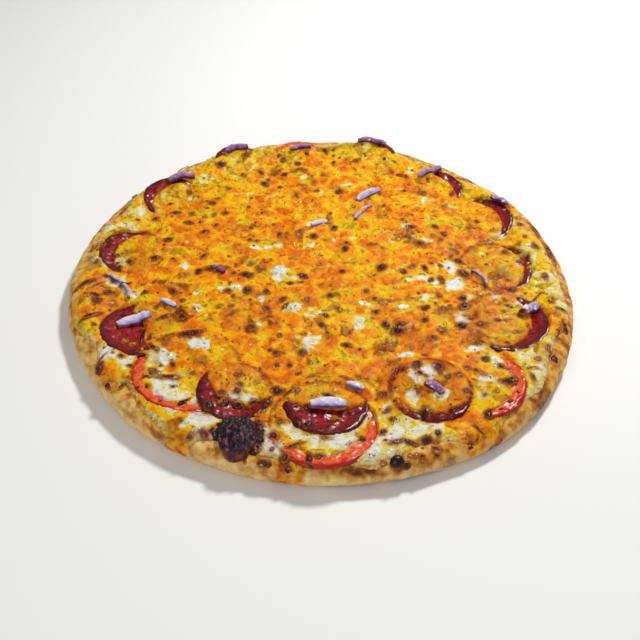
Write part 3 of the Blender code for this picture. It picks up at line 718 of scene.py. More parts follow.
def cheeseCharts():
    # the cheese's height over the whole pizza, and where slices are left bare
    c = cheese
    share = np.sin(math.pi / 2 * np.clip(inward / c["taper"], 0, 1))
    depth = c["edgeThickness"] + (c["thickness"] - c["edgeThickness"]) * share
    lump = grain(warpX, warpY, 11.0, 41, 4) - 0.5
    height = doughChart + depth + c["lump"] * lump * share
    support = np.where(onSlice, sliceTop, doughChart)
    cover = blur(support, 1.6) + c["cover"] * share + 0.8 * lump
    height = np.where(blur(onSlice.astype(float), 1.0) > 0.02, np.maximum(height, cover), height)
    # over the chicken, close round the slices, and banked up against the onion
    chunk = np.where(np.isnan(chickenTop), doughChart, chickenTop)
    chunkCover = blur(chunk, 1.0) + 1.3 + 3.4 * lump
    height = np.maximum(height, np.where(chunk > doughChart + 1, chunkCover, -50))
    height = np.maximum(height, np.where(share > 0.05, collar, -50))
    under = ~np.isnan(onionTop)
    near = blur(under.astype(float), 1.3)
    level = blur(np.where(under, onionTop, 0.0), 1.3) / np.maximum(near, 0.02)
    bank = level - 0.8 - 2.6 * ramp(near, 0.55, 0.05) + 2.6 * (grain(chartX, chartY, 5.0, 45) - 0.55)
    height = np.maximum(height, np.where(near > 0.05, bank, -50))
    height = height + c["relief"] * (relief - 0.42) * (0.3 + 0.7 * share)
    height = blur(height, 0.5)
    # bits of cheese lie on the bare slices
    wobble = 0.6 * (grain(chartX, chartY, 6.0, 42) - 0.5)
    crumbs = ramp(grain(chartX, chartY, 6.0, 43, 3), 0.54, 0.6)
    onSalami = np.zeros_like(onSlice)
    onTomato = np.zeros_like(crumbs)
    for name in sliceNames:
        x, y, wide = roundOf(name)
        gap = np.hypot(chartX - x, chartY - y) - wide
        crumbs = np.where(gap < 0, crumbs * crumbsOn.get(name, 1.0), crumbs)
        if name.startswith("salami"):
            onSalami |= gap < 0
        else:
            ragged = gap + 6.0 * (grain(chartX, chartY, 7.0, 46) - 0.5)
            onTomato = np.maximum(onTomato, ramp(ragged, -5.5, -8.0) * (gap < 0))
    crumbs = np.where(onSalami, crumbs, np.maximum(crumbs, onTomato))
    for px, py, wide, deep in cheeseOver:
        x, y = onPizza(px, py)
        patch = window(x, y, max(wide, deep))
        share = ovalShare(x, y, patch, (wide, deep), 0.0, 1.6, px)
        crumbs[patch] = np.maximum(crumbs[patch], ramp(share, 1.1, 0.9))
    bare = ramp(blur(bareRaw.astype(float), 1.5) + wobble * 0.7, 0.46, 0.68) * onSlice * (1 - crumbs)
    height = height * (1 - bare) + (doughChart + 0.3) * bare
    return height, bare


shredTone, relief = layShreds()
pools = layPools()
shredTone = np.clip(shredTone - 0.45 * blur(pools, 1.8), 0, 1)
pools = blur(pools, 0.5)
thinCheese = layThin()
toast = layToast()
rimRed, overTan = layRims()
sliceShare = blur(onSlice.astype(float), 0.7)
cheeseTop, bare = cheeseCharts()
rimRed = np.maximum(rimRed, 0.8 * np.clip(blur(bare, 2.2) * 1.3, 0, 1) * sliceShare)
topChart = np.where(inward > 0, cheeseTop, doughChart)
topChart = np.maximum(topChart, np.where(bare > 0.5, sliceTop, -50.0))
topChart = np.where(farChart < edgeRadius(angleChart), topChart, 0.0)
print("cheese charts drawn")


def seenSpot(px, py, above=24.0, steps=240, fromEdge=2.5):
    # the first spot of the pizza's top on the line from the camera through this pixel
    high = onPizza(px, py, above)
    low = onPizza(px, py, 0.0)
    share = np.linspace(0, 1, steps + 1)
    x = high[0] + (low[0] - high[0]) * share
    y = high[1] + (low[1] - high[1]) * share
    under = sample(topChart, x, y) >= above * (1 - share)
    first = int(np.argmax(under)) if under.any() else steps // 2
    far = math.hypot(x[first], y[first])
    pull = min(1.0, (float(edgeRadius(np.arctan2(y[first], x[first]))) - fromEdge) / far)
    return x[first] * pull, y[first] * pull


def slopeAt(x, y, reach=1.0):
    # which way the top faces at a spot
    along = (sample(topChart, x + reach, y) - sample(topChart, x - reach, y)) / (2 * reach)
    aside = (sample(topChart, x, y + reach) - sample(topChart, x, y - reach)) / (2 * reach)
    return Vector((-float(along), -float(aside), 1.0)).normalized()


# Dark blisters that stand out: pixel across and down, width in mm
darkSpots = (
    (198, 272, 4.4), (217, 268, 5.4), (247, 275, 4.8), (250, 240, 3.6), (228, 291, 4.0),
    (248, 290, 4.8), (267, 309, 5.0), (251, 328, 6.4), (303, 276, 4.2), (267, 292, 3.4),
    (283, 299, 3.6), (307, 300, 3.8), (314, 236, 4.6), (182, 316, 4.6), (233, 273, 3.0),
    (326, 316, 3.8), (322, 325, 4.6), (347, 243, 3.8), (345, 249, 4.2), (382, 267, 4.8),
    (403, 272, 4.2), (412, 267, 4.6), (425, 268, 3.6), (420, 244, 6.0), (407, 242, 3.6),
    (458, 261, 4.2), (451, 256, 3.8), (464, 274, 5.6), (431, 280, 3.4), (441, 280, 4.2),
    (366, 291, 3.6), (375, 299, 4.4), (377, 312, 4.4), (339, 309, 4.2), (463, 298, 4.2),
    (464, 306, 5.0), (425, 320, 4.2), (386, 325, 4.8), (462, 326, 5.2), (330, 296, 3.6),
    (221, 164, 4.8), (246, 155, 5.4), (243, 175, 4.4), (261, 173, 4.4), (265, 184, 4.8),
    (325, 151, 4.8), (190, 193, 4.8), (189, 223, 4.4), (229, 189, 3.4), (284, 175, 3.6),
    (317, 191, 3.6), (339, 192, 4.4), (406, 177, 3.4), (422, 194, 4.6), (411, 227, 4.4),
    (334, 228, 4.2), (435, 227, 4.2), (173, 365, 4.4), (153, 371, 3.8), (147, 386, 3.2),
    (173, 387, 2.6), (160, 401, 2.4), (138, 387, 2.0), (109, 387, 5.2), (122, 387, 3.4),
    (190, 437, 4.0), (205, 434, 5.4), (280, 422, 4.8), (273, 437, 3.4), (268, 465, 4.6),
    (309, 459, 5.2), (319, 457, 4.8), (311, 466, 3.0), (308, 425, 6.2), (298, 424, 3.8),
    (296, 407, 3.0), (306, 409, 3.4), (277, 391, 4.8), (264, 377, 3.2), (237, 391, 4.2),
    (209, 406, 6.2), (222, 393, 6.2), (226, 404, 5.2), (238, 406, 5.0), (253, 404, 5.4),
    (267, 403, 4.4), (276, 353, 4.2), (302, 353, 4.4), (290, 392, 4.4), (297, 391, 4.0),
    (322, 401, 3.0), (341, 400, 3.0), (363, 440, 3.8), (384, 395, 5.4), (387, 411, 4.6),
    (383, 432, 3.6), (398, 331, 5.8), (441, 330, 5.0), (434, 338, 4.4), (465, 307, 5.8),
    (462, 326, 4.4), (471, 319, 3.6), (480, 325, 6.0), (523, 311, 5.6), (509, 306, 3.0),
    (498, 320, 3.0), (528, 325, 3.4), (412, 348, 3.0), (397, 371, 4.4), (404, 369, 3.0),
    (417, 364, 5.4), (439, 367, 6.4), (459, 375, 5.0), (449, 377, 3.6), (466, 391, 4.4),
    (476, 370, 2.0), (485, 359, 3.6), (510, 370, 3.8), (501, 366, 3.4), (512, 381, 6.0),
    (485, 395, 3.0), (518, 392, 1.8), (510, 401, 3.8), (501, 409, 2.4), (489, 415, 5.4),
    (403, 410, 5.8), (391, 420, 3.0), (426, 414, 7.0), (452, 412, 4.4), (427, 440, 4.8),
    (436, 450, 4.8), (436, 442, 3.0), (438, 433, 3.4), (406, 466, 5.0), (130, 262, 4.6),
    (155, 258, 4.6), (168, 240, 4.4), (205, 232, 4.0), (176, 213, 4.2), (520, 262, 4.8),
    (505, 252, 4.2), (512, 290, 4.6), (486, 240, 3.8), (96, 300, 4.2), (145, 292, 3.6),
    (173, 292, 4.2), (161, 282, 3.0), (383, 346, 5.0),
)

# Open bubbles with a browned ring: pixel across and down, width and length in mm, turn
openBubbles = (
    (108, 293, 5.2, 5.2, 0), (81, 301, 3.0, 3.6, 90), (125, 341, 4.4, 4.4, 0),
    (238, 405, 4.6, 4.6, 0), (285, 458, 4.6, 6.0, 60), (274, 437, 5.4, 6.4, 90),
    (325, 438, 3.0, 4.4, 0), (549, 349, 4.6, 7.0, 105), (538, 359, 4.0, 4.4, 0),
    (422, 459, 4.0, 6.4, 100), (556, 314, 3.4, 4.4, 90), (410, 456, 2.8, 2.8, 0),
    (416, 455, 2.6, 2.6, 0), (153, 371, 4.4, 4.6, 0), (425, 308, 3.6, 4.2, 0),
    (516, 332, 2.6, 5.4, 0), (467, 368, 3.4, 3.6, 0), (257, 447, 4.0, 5.2, 100),
    (122, 204, 3.4, 5.0, 40), (146, 192, 3.2, 4.6, 60), (552, 300, 3.2, 5.4, 80),
    (545, 277, 3.4, 5.6, 100), (97, 262, 3.2, 5.4, 80), (103, 245, 3.4, 5.6, 70),
    (535, 246, 3.2, 4.8, 120), (383, 463, 3.6, 4.2, 0), (264, 464, 5.0, 8.0, 0),
)

# Burnt drips and slits: the pixels of both ends, width in mm, how burnt
burntDrips = (
    (76, 290, 93, 280, 2.8, 0.75), (83, 319, 98, 314, 2.8, 0.7), (99, 366, 95, 377, 4.6, 0.9),
    (97, 364, 105, 354, 1.3, 0.6), (121, 285, 130, 283, 2.0, 0.9), (145, 329, 138, 343, 2.0, 1.0),
    (177, 406, 187, 400, 1.8, 1.0), (286, 448, 301, 443, 2.2, 0.5), (232, 454, 232, 467, 3.0, 0.6),
    (243, 452, 245, 465, 3.0, 0.6), (285, 482, 289, 490, 3.2, 0.85), (563, 322, 568, 338, 2.0, 0.75),
    (558, 308, 566, 312, 2.2, 0.6), (553, 357, 556, 362, 4.0, 0.95), (529, 368, 537, 368, 2.2, 0.5),
    (391, 443, 403, 440, 2.8, 0.7), (403, 440, 416, 445, 2.8, 0.75), (470, 451, 473, 456, 2.2, 0.9),
    (181, 335, 199, 331, 3.6, 0.85), (150, 346, 156, 349, 2.8, 0.7), (161, 377, 176, 377, 4.2, 0.6),
    (505, 381, 517, 381, 4.8, 0.9), (236, 375, 243, 375, 2.0, 0.6), (324, 395, 332, 396, 2.4, 0.7),
    (283, 308, 287, 304, 1.6, 1.0), (208, 269, 224, 268, 3.6, 0.7), (159, 319, 170, 315, 3.0, 0.7),
    (472, 423, 486, 440, 1.6, 0.35), (478, 436, 476, 446, 1.5, 0.4), (104, 282, 90, 288, 1.6, 0.35),
    (142, 377, 149, 377, 1.6, 0.8), (538, 296, 530, 304, 1.0, 0.9), (431, 167, 437, 169, 1.6, 0.9),
    (557, 336, 560, 328, 1.8, 0.4), (530, 225, 540, 238, 2.4, 0.6), (548, 252, 556, 266, 2.4, 0.65),
    (160, 172, 172, 166, 2.4, 0.6), (118, 216, 128, 206, 2.4, 0.65), (88, 252, 96, 246, 2.6, 0.6),
)


# Smaller blisters between the ones read from the photo
smallBlisters = {"total": 520, "tries": 12000, "reach": 146.0, "width": (1.0, 3.6), "gap": 0.8, "seed": 44}


def gatherMarks():
    # every blister: place, length, width, turn on the top, and how burnt it is
    draw = np.random.default_rng(smallBlisters["seed"])
    least, most = smallBlisters["width"]
    domes = []
    rings = []
    drips = []
    for px, py, wide in darkSpots:
        x, y = seenSpot(px, py)
        mark = (x, y, wide * draw.uniform(0.95, 1.3), wide * draw.uniform(0.7, 0.95),
                draw.random() * math.pi, 0.35 + 0.6 * draw.random())
        ringed = draw.random() < 0.4
        if sample(bare, x, y) > 0.2:
            domes.append((*mark[:5], 0.85))
        else:
            (rings if ringed else domes).append(mark)
    for px, py, wide, length, turn in openBubbles:
        x, y = seenSpot(px, py)
        rings.append((x, y, length, wide, math.radians(turn), 0.25 + 0.5 * draw.random()))
    for px, py, qx, qy, wide, burnt in burntDrips:
        ax, ay = seenSpot(px, py)
        bx, by = seenSpot(qx, qy)
        length = math.hypot(bx - ax, by - ay) + wide * 0.5
        drips.append(((ax + bx) / 2, (ay + by) / 2, length, wide, math.atan2(by - ay, bx - ax), burnt))
    taken = [(m[0], m[1], m[2]) for m in (*domes, *rings, *drips)]
    tries = 0
    while len(taken) < smallBlisters["total"] and tries < smallBlisters["tries"]:
        tries += 1
        far = smallBlisters["reach"] * draw.random() ** 0.45
        angle = draw.random() * math.tau
        x = far * math.cos(angle)
        y = far * math.sin(angle)
        wide = least + (most - least) * draw.random() ** 2.4
        if far > cheeseEdge(np.array(angle)) + 3 or sample(bare, x, y) > 0.3:
            continue
        if grain(np.array(x), np.array(y), 16.0, 91, 2) < 0.25 + 0.35 * draw.random():
            continue
        apart = wide / 2 + smallBlisters["gap"]
        if any((x - a) ** 2 + (y - b) ** 2 < (apart + c / 2) ** 2 for a, b, c in taken):
            continue
        mark = (x, y, wide * draw.uniform(1.0, 1.5), wide, draw.random() * math.pi, draw.random() * 0.9)
        taken.append((x, y, wide))
        (rings if draw.random() < 0.5 else domes).append(mark)
    return domes, rings, drips


domes, openRings, drips = gatherMarks()
marksAll = domes + openRings + drips
print("blisters placed:", len(domes), len(openRings), len(drips))


def meltedCheese():
    # Cheddar and mozzarella, melted under ranch and cooled: shreds run together, soft and oily,
    # yellow where they thin out, toasted where steam blistered them
    material, tree, shader = newMaterial("melted cheddar and mozzarella")
    place = objectPlace(tree)
    tone, white, toasted, red, burnt, thin = [
        attribute(tree, key) for key in ("tone", "white", "toast", "red", "burn", "thin")]
    bent = addNode(tree, "ShaderNodeVectorMath", {"operation": "MULTIPLY_ADD"}, {
        0: noise(tree, 140.0, 3.0, place)["Color"], 1: (0.009, 0.009, 0.009), 2: place}).outputs[0]
    fine = noise(tree, 480.0, 5.0, place)["Fac"]
    soft = noise(tree, 170.0, 3.0, place)["Fac"]
    shreds = addNode(tree, "ShaderNodeTexVoronoi", {"feature": "SMOOTH_F1"}, {
        "Vector": bent, "Scale": 160.0, "Smoothness": 0.35}).outputs
    bubbles = roundCells(tree, 300.0, bent)
    shredPick = addNode(tree, "ShaderNodeSeparateColor", None, {"Color": shreds["Color"]}).outputs
    bubblePick = addNode(tree, "ShaderNodeSeparateColor", None, {"Color": bubbles["Color"]}).outputs

    vein = between(tree, shreds["Distance"], 0.42, 0.75)
    tone = calc(tree, "MULTIPLY_ADD", fine, 0.4, tone)
    tone = calc(tree, "MULTIPLY_ADD", shredPick["Red"], 0.34, tone)
    tone = calc(tree, "MULTIPLY_ADD", vein, -0.3, tone)
    colour = shades(tree, calc(tree, "SUBTRACT", tone, 0.12), (0.18, "#BC8C08"), (0.3, "#DCB00A"),
                    (0.42, "#EEC800"), (0.54, "#F4B800"), (0.66, "#F8A000"), (0.84, "#F28A00"),
                    (1.0, "#DE6C00"))

    whiteness = calc(tree, "MULTIPLY_ADD", fine, 0.6, white)
    whiteness = calc(tree, "MULTIPLY_ADD", shredPick["Green"], 0.4, whiteness)
    cream = shades(tree, noise(tree, 200.0, 3.0, bent)["Fac"], (0.34, "#E0CC74"), (0.44, "#E8E0B8"),
                   (0.52, "#E6E8DE"), (0.7, "#E8EAEC"))
    colour = mixed(tree, between(tree, whiteness, 0.7, 0.95), colour, linear("#E8D23C"))
    colour = mixed(tree, between(tree, whiteness, 0.86, 1.2), colour, cream)

    thinness = calc(tree, "MULTIPLY_ADD", soft, 0.6, thin)
    doughy = shades(tree, fine, (0.4, "#E8D8A8"), (0.52, "#D9B45C"), (0.64, "#C28A2C"))
    colour = mixed(tree, between(tree, thinness, 0.45, 1.2, 0.0, 0.9), colour, doughy)

    toasting = calc(tree, "MULTIPLY_ADD", soft, 0.6, toasted)
    toasting = calc(tree, "MULTIPLY_ADD", vein, 0.12, toasting)
    olive = shades(tree, toasting, (0.4, "#D0A008"), (0.62, "#BC7A04"), (0.85, "#94480A"), (1.0, "#6A2A0C"))
    colour = mixed(tree, between(tree, toasting, 0.4, 1.0, 0.0, 0.85), colour, olive)
    redness = calc(tree, "MULTIPLY", red, between(tree, fine, 0.36, 0.58, 0.5, 1.0))
    reddish = shades(tree, red, (0.2, "#C05008"), (0.6, "#A82C08"), (1.0, "#7A1010"))
    colour = mixed(tree, redness, colour, reddish)

    chosen = calc(tree, "MULTIPLY_ADD", soft, 1.3, bubblePick["Red"])
    chosen = between(tree, chosen, 1.32, 1.4)
    ring = shades(tree, bubbles["Distance"], (0.0, 0.5), (0.16, 0.12), (0.27, 1.0), (0.38, 0.6), (0.5, 0.0))
    ring = calc(tree, "MULTIPLY", ring, chosen)
    ring = calc(tree, "MULTIPLY", ring, between(tree, fine, 0.4, 0.56, 0.3, 0.85))
    burn = calc(tree, "MULTIPLY_ADD", fine, 0.5, burnt)
    burn = calc(tree, "MAXIMUM", burn, calc(tree, "MULTIPLY", ring, 1.05))
    blackened = shades(tree, burn, (0.35, "#B86008"), (0.55, "#96380A"), (0.75, "#64180C"),
                       (0.95, "#300A12"))
    colour = mixed(tree, between(tree, burn, 0.36, 0.8), colour, blackened)

    body = calc(tree, "MULTIPLY_ADD", shreds["Distance"], -1.4, calc(tree, "MULTIPLY", fine, 0.5))
    dome = calc(tree, "SUBTRACT", 0.5, bubbles["Distance"])
    dome = calc(tree, "MULTIPLY", dome, between(tree, chosen, 0.0, 1.0, 0.7, 1.4))
    dress(tree, shader, colour, 0.5, 0.08)
    tree.links.new(between(tree, soft, 0.3, 0.7, 0.3, 0.5), shader.inputs["Roughness"])
    bump = relieve(tree, shader, calc(tree, "ADD", body, dome), 1.0, 0.001)
    tree.links.new(bump, shader.inputs["Coat Normal"])
    shader.inputs["IOR"].default_value = 1.46
    shader.inputs["Coat Weight"].default_value = 0.28
    shader.inputs["Coat Roughness"].default_value = 0.04
    return material


def discGrid(count):
    # a square grid bent into a disc, with cells of one size: share of the way out, and angle
    line = np.linspace(-1, 1, count + 1)
    u, v = np.meshgrid(line, line)
    flat = np.abs(u) > np.abs(v)
    safeU = np.where(u == 0, 1e-9, u)
    safeV = np.where(v == 0, 1e-9, v)
    far = np.where(flat, u, v)
    turn = np.where(flat, math.pi / 4 * v / safeU, math.pi / 2 - math.pi / 4 * u / safeV)
    x = far * np.cos(turn)
    y = far * np.sin(turn)
    return np.hypot(x, y), np.arctan2(y, x)


# The cheese burnt round the charred lump: middle and reach in mm
lumpScorch = {"x": -41.0, "y": -130.0, "depth": 0.85, "reach": 13.0}


def buildCheese():
    count = cheese["grid"]
    share, angle = discGrid(count)
    edge = cheeseEdge(angle)
    x = share * edge * np.cos(angle)
    y = share * edge * np.sin(angle)
    inner = edge - share * edge
    z = sample(cheeseTop, x, y)
    bead = np.sqrt(1 - (1 - np.clip(inner / cheese["bead"], 0, 1)) ** 2)
    ground = doughTop(x, y)
    z = ground - 0.4 + (z - ground + 0.4) * bead
    tone = sample(shredTone, x, y)
    white = sample(pools, x, y)
    burn = 0.1 * ramp(grain(x, y, 3.0, 52), 0.6, 0.8)
    halo = np.maximum(sample(toast, x, y), sample(overTan, x, y))
    halo = halo * (1 - 0.6 * white)
    for bx, by, length, wide, turn, dark in marksAll:
        reach = 1.6 * max(length, wide) + 1.5
        near = (np.abs(x - bx) < reach) & (np.abs(y - by) < reach)
        along, aside = alongAside(x[near] - bx, y[near] - by, turn)
        gap = np.hypot(along / length * 2, aside / wide * 2)
        gap = gap + 0.7 * (grain(x[near], y[near], 2.2, 53, 2) - 0.5)
        burn[near] = np.maximum(burn[near], (0.2 + 0.4 * dark) * ramp(gap, 1.5, 0.7))
        halo[near] = np.maximum(halo[near], (0.3 + 0.5 * dark) * ramp(gap, 2.5, 1.0))
        z[near] = z[near] + 0.04 * wide * ramp(gap, 1.8, 0.4)
    side = count + 1
    index = np.arange(side * side).reshape(side, side)
    top = np.stack([index[:-1, :-1], index[:-1, 1:], index[1:, 1:], index[1:, :-1]], -1).reshape(-1, 4)
    rim = np.concatenate([index[0, :-1], index[:-1, -1], index[-1, :0:-1], index[:0:-1, 0]])
    points = np.stack([x.ravel(), y.ravel(), z.ravel()], -1)
    under = points[rim] * (cheese["tuck"], cheese["tuck"], 0) + (0, 0, cheese["underside"])
    base = len(points)
    ring = np.arange(len(rim))
    skirt = np.stack([rim, base + ring, base + np.roll(ring, -1), np.roll(rim, -1)], -1)
    faces = top.tolist() + skirt.tolist() + [list(range(base, base + len(rim)))[::-1]]
    lumpAway = np.hypot(x - lumpScorch["x"], (y - lumpScorch["y"]) * lumpScorch["depth"])
    lumpAway = lumpAway / lumpScorch["reach"] + 0.5 * (grain(x, y, 3.0, 54) - 0.5)
    burn = np.maximum(burn, 0.8 * ramp(lumpAway, 1.25, 0.85))
    values = {"tone": tone, "white": white, "toast": halo, "red": sample(rimRed, x, y), "burn": burn,
              "thin": sample(thinCheese, x, y)}
    values = {key: np.concatenate([np.clip(value, 0, 1).ravel(), np.zeros(len(rim))])
              for key, value in values.items()}
    piece = meshFrom("cheese_blanket", np.concatenate([points, under]), faces, meltedCheese(), values)
    settle(piece, "cheese")


buildCheese()
print("cheese built")

# Slices: a finer round on each solid's own top
salami = {"around": 120, "rings": 34, "thickness": 1.8, "wrinkle": 0.8, "wrinkleSize": 4.0}
tomato = {"around": 130, "rings": 38, "thickness": 2.4, "wrinkle": 0.8, "wrinkleSize": 3.2}

# The edge of a slice, downward from its top: share of the radius, share of the thickness
sliceEdge = ((1.004, 0.4), (1.0, 0.75), (0.97, 1.0))


def curedSalami():
    # Cured sausage, baked until its fat ran: dark red and oily, almost black along its edge
    material, tree, shader = newMaterial("baked salami")
    place = objectPlace(tree)
    wide = noise(tree, 210.0, 5.0, place)["Fac"]
    fat = between(tree, roundCells(tree, 480.0, place)["Distance"], 0.12, 0.3, 0.45, 0.0)
    colour = shades(tree, wide, (0.3, "#3A040C"), (0.42, "#720C0C"), (0.52, "#A41A0E"),
                    (0.6, "#7E0E18"), (0.7, "#4A0820"))
    colour = mixed(tree, fat, colour, linear("#CC5440"))
    edge = calc(tree, "MULTIPLY_ADD", wide, 0.3, attribute(tree, "out"))
    colour = mixed(tree, between(tree, edge, 0.84, 1.14, 0.0, 0.9), colour, linear("#420410"))
    dress(tree, shader, colour, 0.25, 0.4)
    relieve(tree, shader, wide, 0.7, 0.0007)
    return material


def bakedTomato():
    # Ripe tomato, sliced and baked: wet, a thin firm red skin, orange pulp and pale pink flesh
    material, tree, shader = newMaterial("baked tomato")
    place = objectPlace(tree)
    out = attribute(tree, "out")
    wide = noise(tree, 200.0, 5.0, place)["Fac"]
    share = calc(tree, "SUBTRACT", calc(tree, "MULTIPLY_ADD", wide, 0.4, out), 0.17)
    colour = shades(tree, share, (0.5, "#EFE2D8"), (0.66, "#F0B49A"), (0.76, "#F0884C"),
                    (0.84, "#D8401E"), (0.91, "#EC6428"), (1.0, "#C42612"))
    seeds = between(tree, roundCells(tree, 330.0, place)["Distance"], 0.1, 0.26, 0.6, 0.0)
    colour = mixed(tree, seeds, colour, linear("#F6B070"))
    colour = mixed(tree, between(tree, out, 0.93, 0.965), colour, linear("#B01408"))
    dress(tree, shader, colour, 0.26, 0.4)
    relieve(tree, shader, wide, 0.6, 0.0007)
    return material


def buildSlice(name, look, material):
    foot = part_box(name)[0][2] / mm
    x0, y0, radius = roundOf(name)
    tree = treeOf([name])
    count = look["around"]
    angle = np.arange(count) * math.tau / count
    seed = sum(map(ord, name))
    shares = [0.02] + [((ring + 1) / look["rings"]) ** 0.8 for ring in range(look["rings"])]
    tops = np.zeros((len(shares), count))
    for i, share in enumerate(shares):
        for j, turn in enumerate(angle):
            reach = radius * min(share, 0.94)
            spot = Vector((x0 + reach * math.cos(turn), y0 + reach * math.sin(turn), chart["above"]))
            hit = tree.ray_cast(spot, Vector((0, 0, -1)))[0]
            tops[i, j] = hit.z if hit else foot + look["thickness"]
    # evens out the facets of the solid
    for _ in range(5):
        tops = (tops + np.roll(tops, 2, 1) + np.roll(tops, -2, 1)) / 3
        tops[1:-1] = (tops[:-2] + tops[1:-1] + tops[2:]) / 3
    wobble = 1 + 0.01 * np.cos(3 * angle + x0) + 0.006 * np.cos(7 * angle + seed)
    points = []
    out = []
    for share, top in zip(shares, tops):
        x = x0 + radius * share * wobble * np.cos(angle)
        y = y0 + radius * share * wobble * np.sin(angle)
        top = top + look["wrinkle"] * (grain(x, y, look["wrinkleSize"], seed, 3) - 0.5) * 2
        top = top - 0.5 * max(0.0, share - 0.94) / 0.06
        above = sample(cheeseTop, x, y)
        # under cheese the slice stays below it
        covered = (sample(bare, x, y) < 0.12) & (above > top - 1.3)
        top = np.where(covered, np.minimum(top, above - 0.4), top)
        points.append(np.stack([x, y, top], -1))
        out.append(np.full(count, share))
    rim = points[-1]
    for inset, drop in sliceEdge:
        lower = rim.copy()
        lower[:, :2] = (rim[:, :2] - (x0, y0)) * inset + (x0, y0)
        lower[:, 2] -= look["thickness"] * drop
        points.append(lower)
        out.append(np.full(count, 1.0))
    under = points[0].copy()
    under[:, 2] -= look["thickness"]
    points.append(under)
    out.append(np.full(count, 0.3))
    rings = len(points)
    faces = quads(rings, count)
    faces.append(list(range(count)))
    faces.append(list(range((rings - 1) * count, rings * count))[::-1])
    faces = [face[::-1] for face in faces]
    piece = meshFrom(name + "_slice", np.concatenate(points), faces, material,
                     {"out": np.concatenate(out)})
    settle(piece, name)


salamiFinish = curedSalami()
tomatoFinish = bakedTomato()
for name in sliceNames:
    if name.startswith("salami"):
        buildSlice(name, salami, salamiFinish)
    else:
        buildSlice(name, tomato, tomatoFinish)
print("slices built")

# Onion, chicken and charred lump: finer forms of their solids
onion = {"round": 0.3, "levels": 3, "ripple": 0.45}
chicken = {"voxel": 0.55, "fibre": 0.4, "turn": 1.3}
charred = {"voxel": 0.42, "crumb": 1.2, "narrow": 0.82, "deepen": 1.1, "round": 12.5, "sink": 0.9}


def plainCopy(name, newName):
    # the solid's mesh with its loose triangles joined
    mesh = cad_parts[name].data.copy()
    sheet = bmesh.new()
    sheet.from_mesh(mesh)
    bmesh.ops.remove_doubles(sheet, verts=sheet.verts, dist=1e-6)
    bmesh.ops.recalc_face_normals(sheet, faces=sheet.faces)
    sheet.to_mesh(mesh)
    sheet.free()
    mesh.materials.clear()
    piece = bpy.data.objects.new(newName, mesh)
    scene.collection.objects.link(piece)
    return piece


def applied(piece):
    # the piece as its modifiers leave it, with none left on it
    seen = piece.evaluated_get(bpy.context.evaluated_depsgraph_get())
    mesh = bpy.data.meshes.new_from_object(seen)
    piece.modifiers.clear()
    piece.data = mesh
    return piece


def pointsOf(piece):
    values = np.empty(len(piece.data.vertices) * 3)
    piece.data.vertices.foreach_get("co", values)
    return values.reshape(-1, 3) / mm


def setPoints(piece, points, attributes):
    piece.data.vertices.foreach_set("co", (points * mm).ravel())
    for key, values in attributes.items():
        layer = piece.data.attributes.new(key, "FLOAT", "POINT")
        layer.data.foreach_set("value", np.asarray(values, np.float32))
    piece.data.update()
    piece.data.shade_smooth()


# How purple each strip of onion is, 0 to 1
purple = {"onion_02": 0.45, "onion_04": 0.8, "onion_05": 0.9, "onion_06": 0.8, "onion_07": 0.9,
          "onion_08": 0.7, "onion_09": 0.35, "onion_11": 0.8, "onion_12": 0.6, "onion_13": 0.45,
          "onion_14": 0.95, "onion_18": 1.0, "onion_10": 0.5}

# Strips whose slabs show wider than the solids, and how much
broadOnions = {"onion_04": 1.4, "onion_05": 1.7, "onion_06": 1.5, "onion_07": 1.6, "onion_11": 1.5,
               "onion_13": 1.3}


def redOnion():
    # Red onion, sliced and baked: wet, see-through white layers, purple on the skin side
    material, tree, shader = newMaterial("red onion")
    blotch = noise(tree, 300.0, 4.0, objectPlace(tree))["Fac"]
    share = calc(tree, "MULTIPLY", attribute(tree, "across"), 0.85)
    share = calc(tree, "MULTIPLY_ADD", blotch, 0.3, share)
    pale = shades(tree, share, (0.28, "#E8E6E6"), (0.5, "#D6D2E4"), (0.7, "#BEB2DA"),
                  (0.84, "#9680BA"), (0.96, "#5E3070"))
    deep = shades(tree, share, (0.3, "#9C5A98"), (0.55, "#7E3072"), (0.8, "#5E184A"), (0.97, "#380A2C"))
    dyed = calc(tree, "SUBTRACT", attribute(tree, "tint"), 0.25)
    colour = mixed(tree, calc(tree, "MULTIPLY_ADD", blotch, 0.5, dyed), pale, deep)
    tips = between(tree, attribute(tree, "along"), 0.84, 1.0, 0.0, 0.75)
    dress(tree, shader, mixed(tree, tips, colour, linear("#5A2A1E")), 0.3, 0.35)
    relieve(tree, shader, blotch, 0.5, 0.0006)
    return material


onionFinish = redOnion()


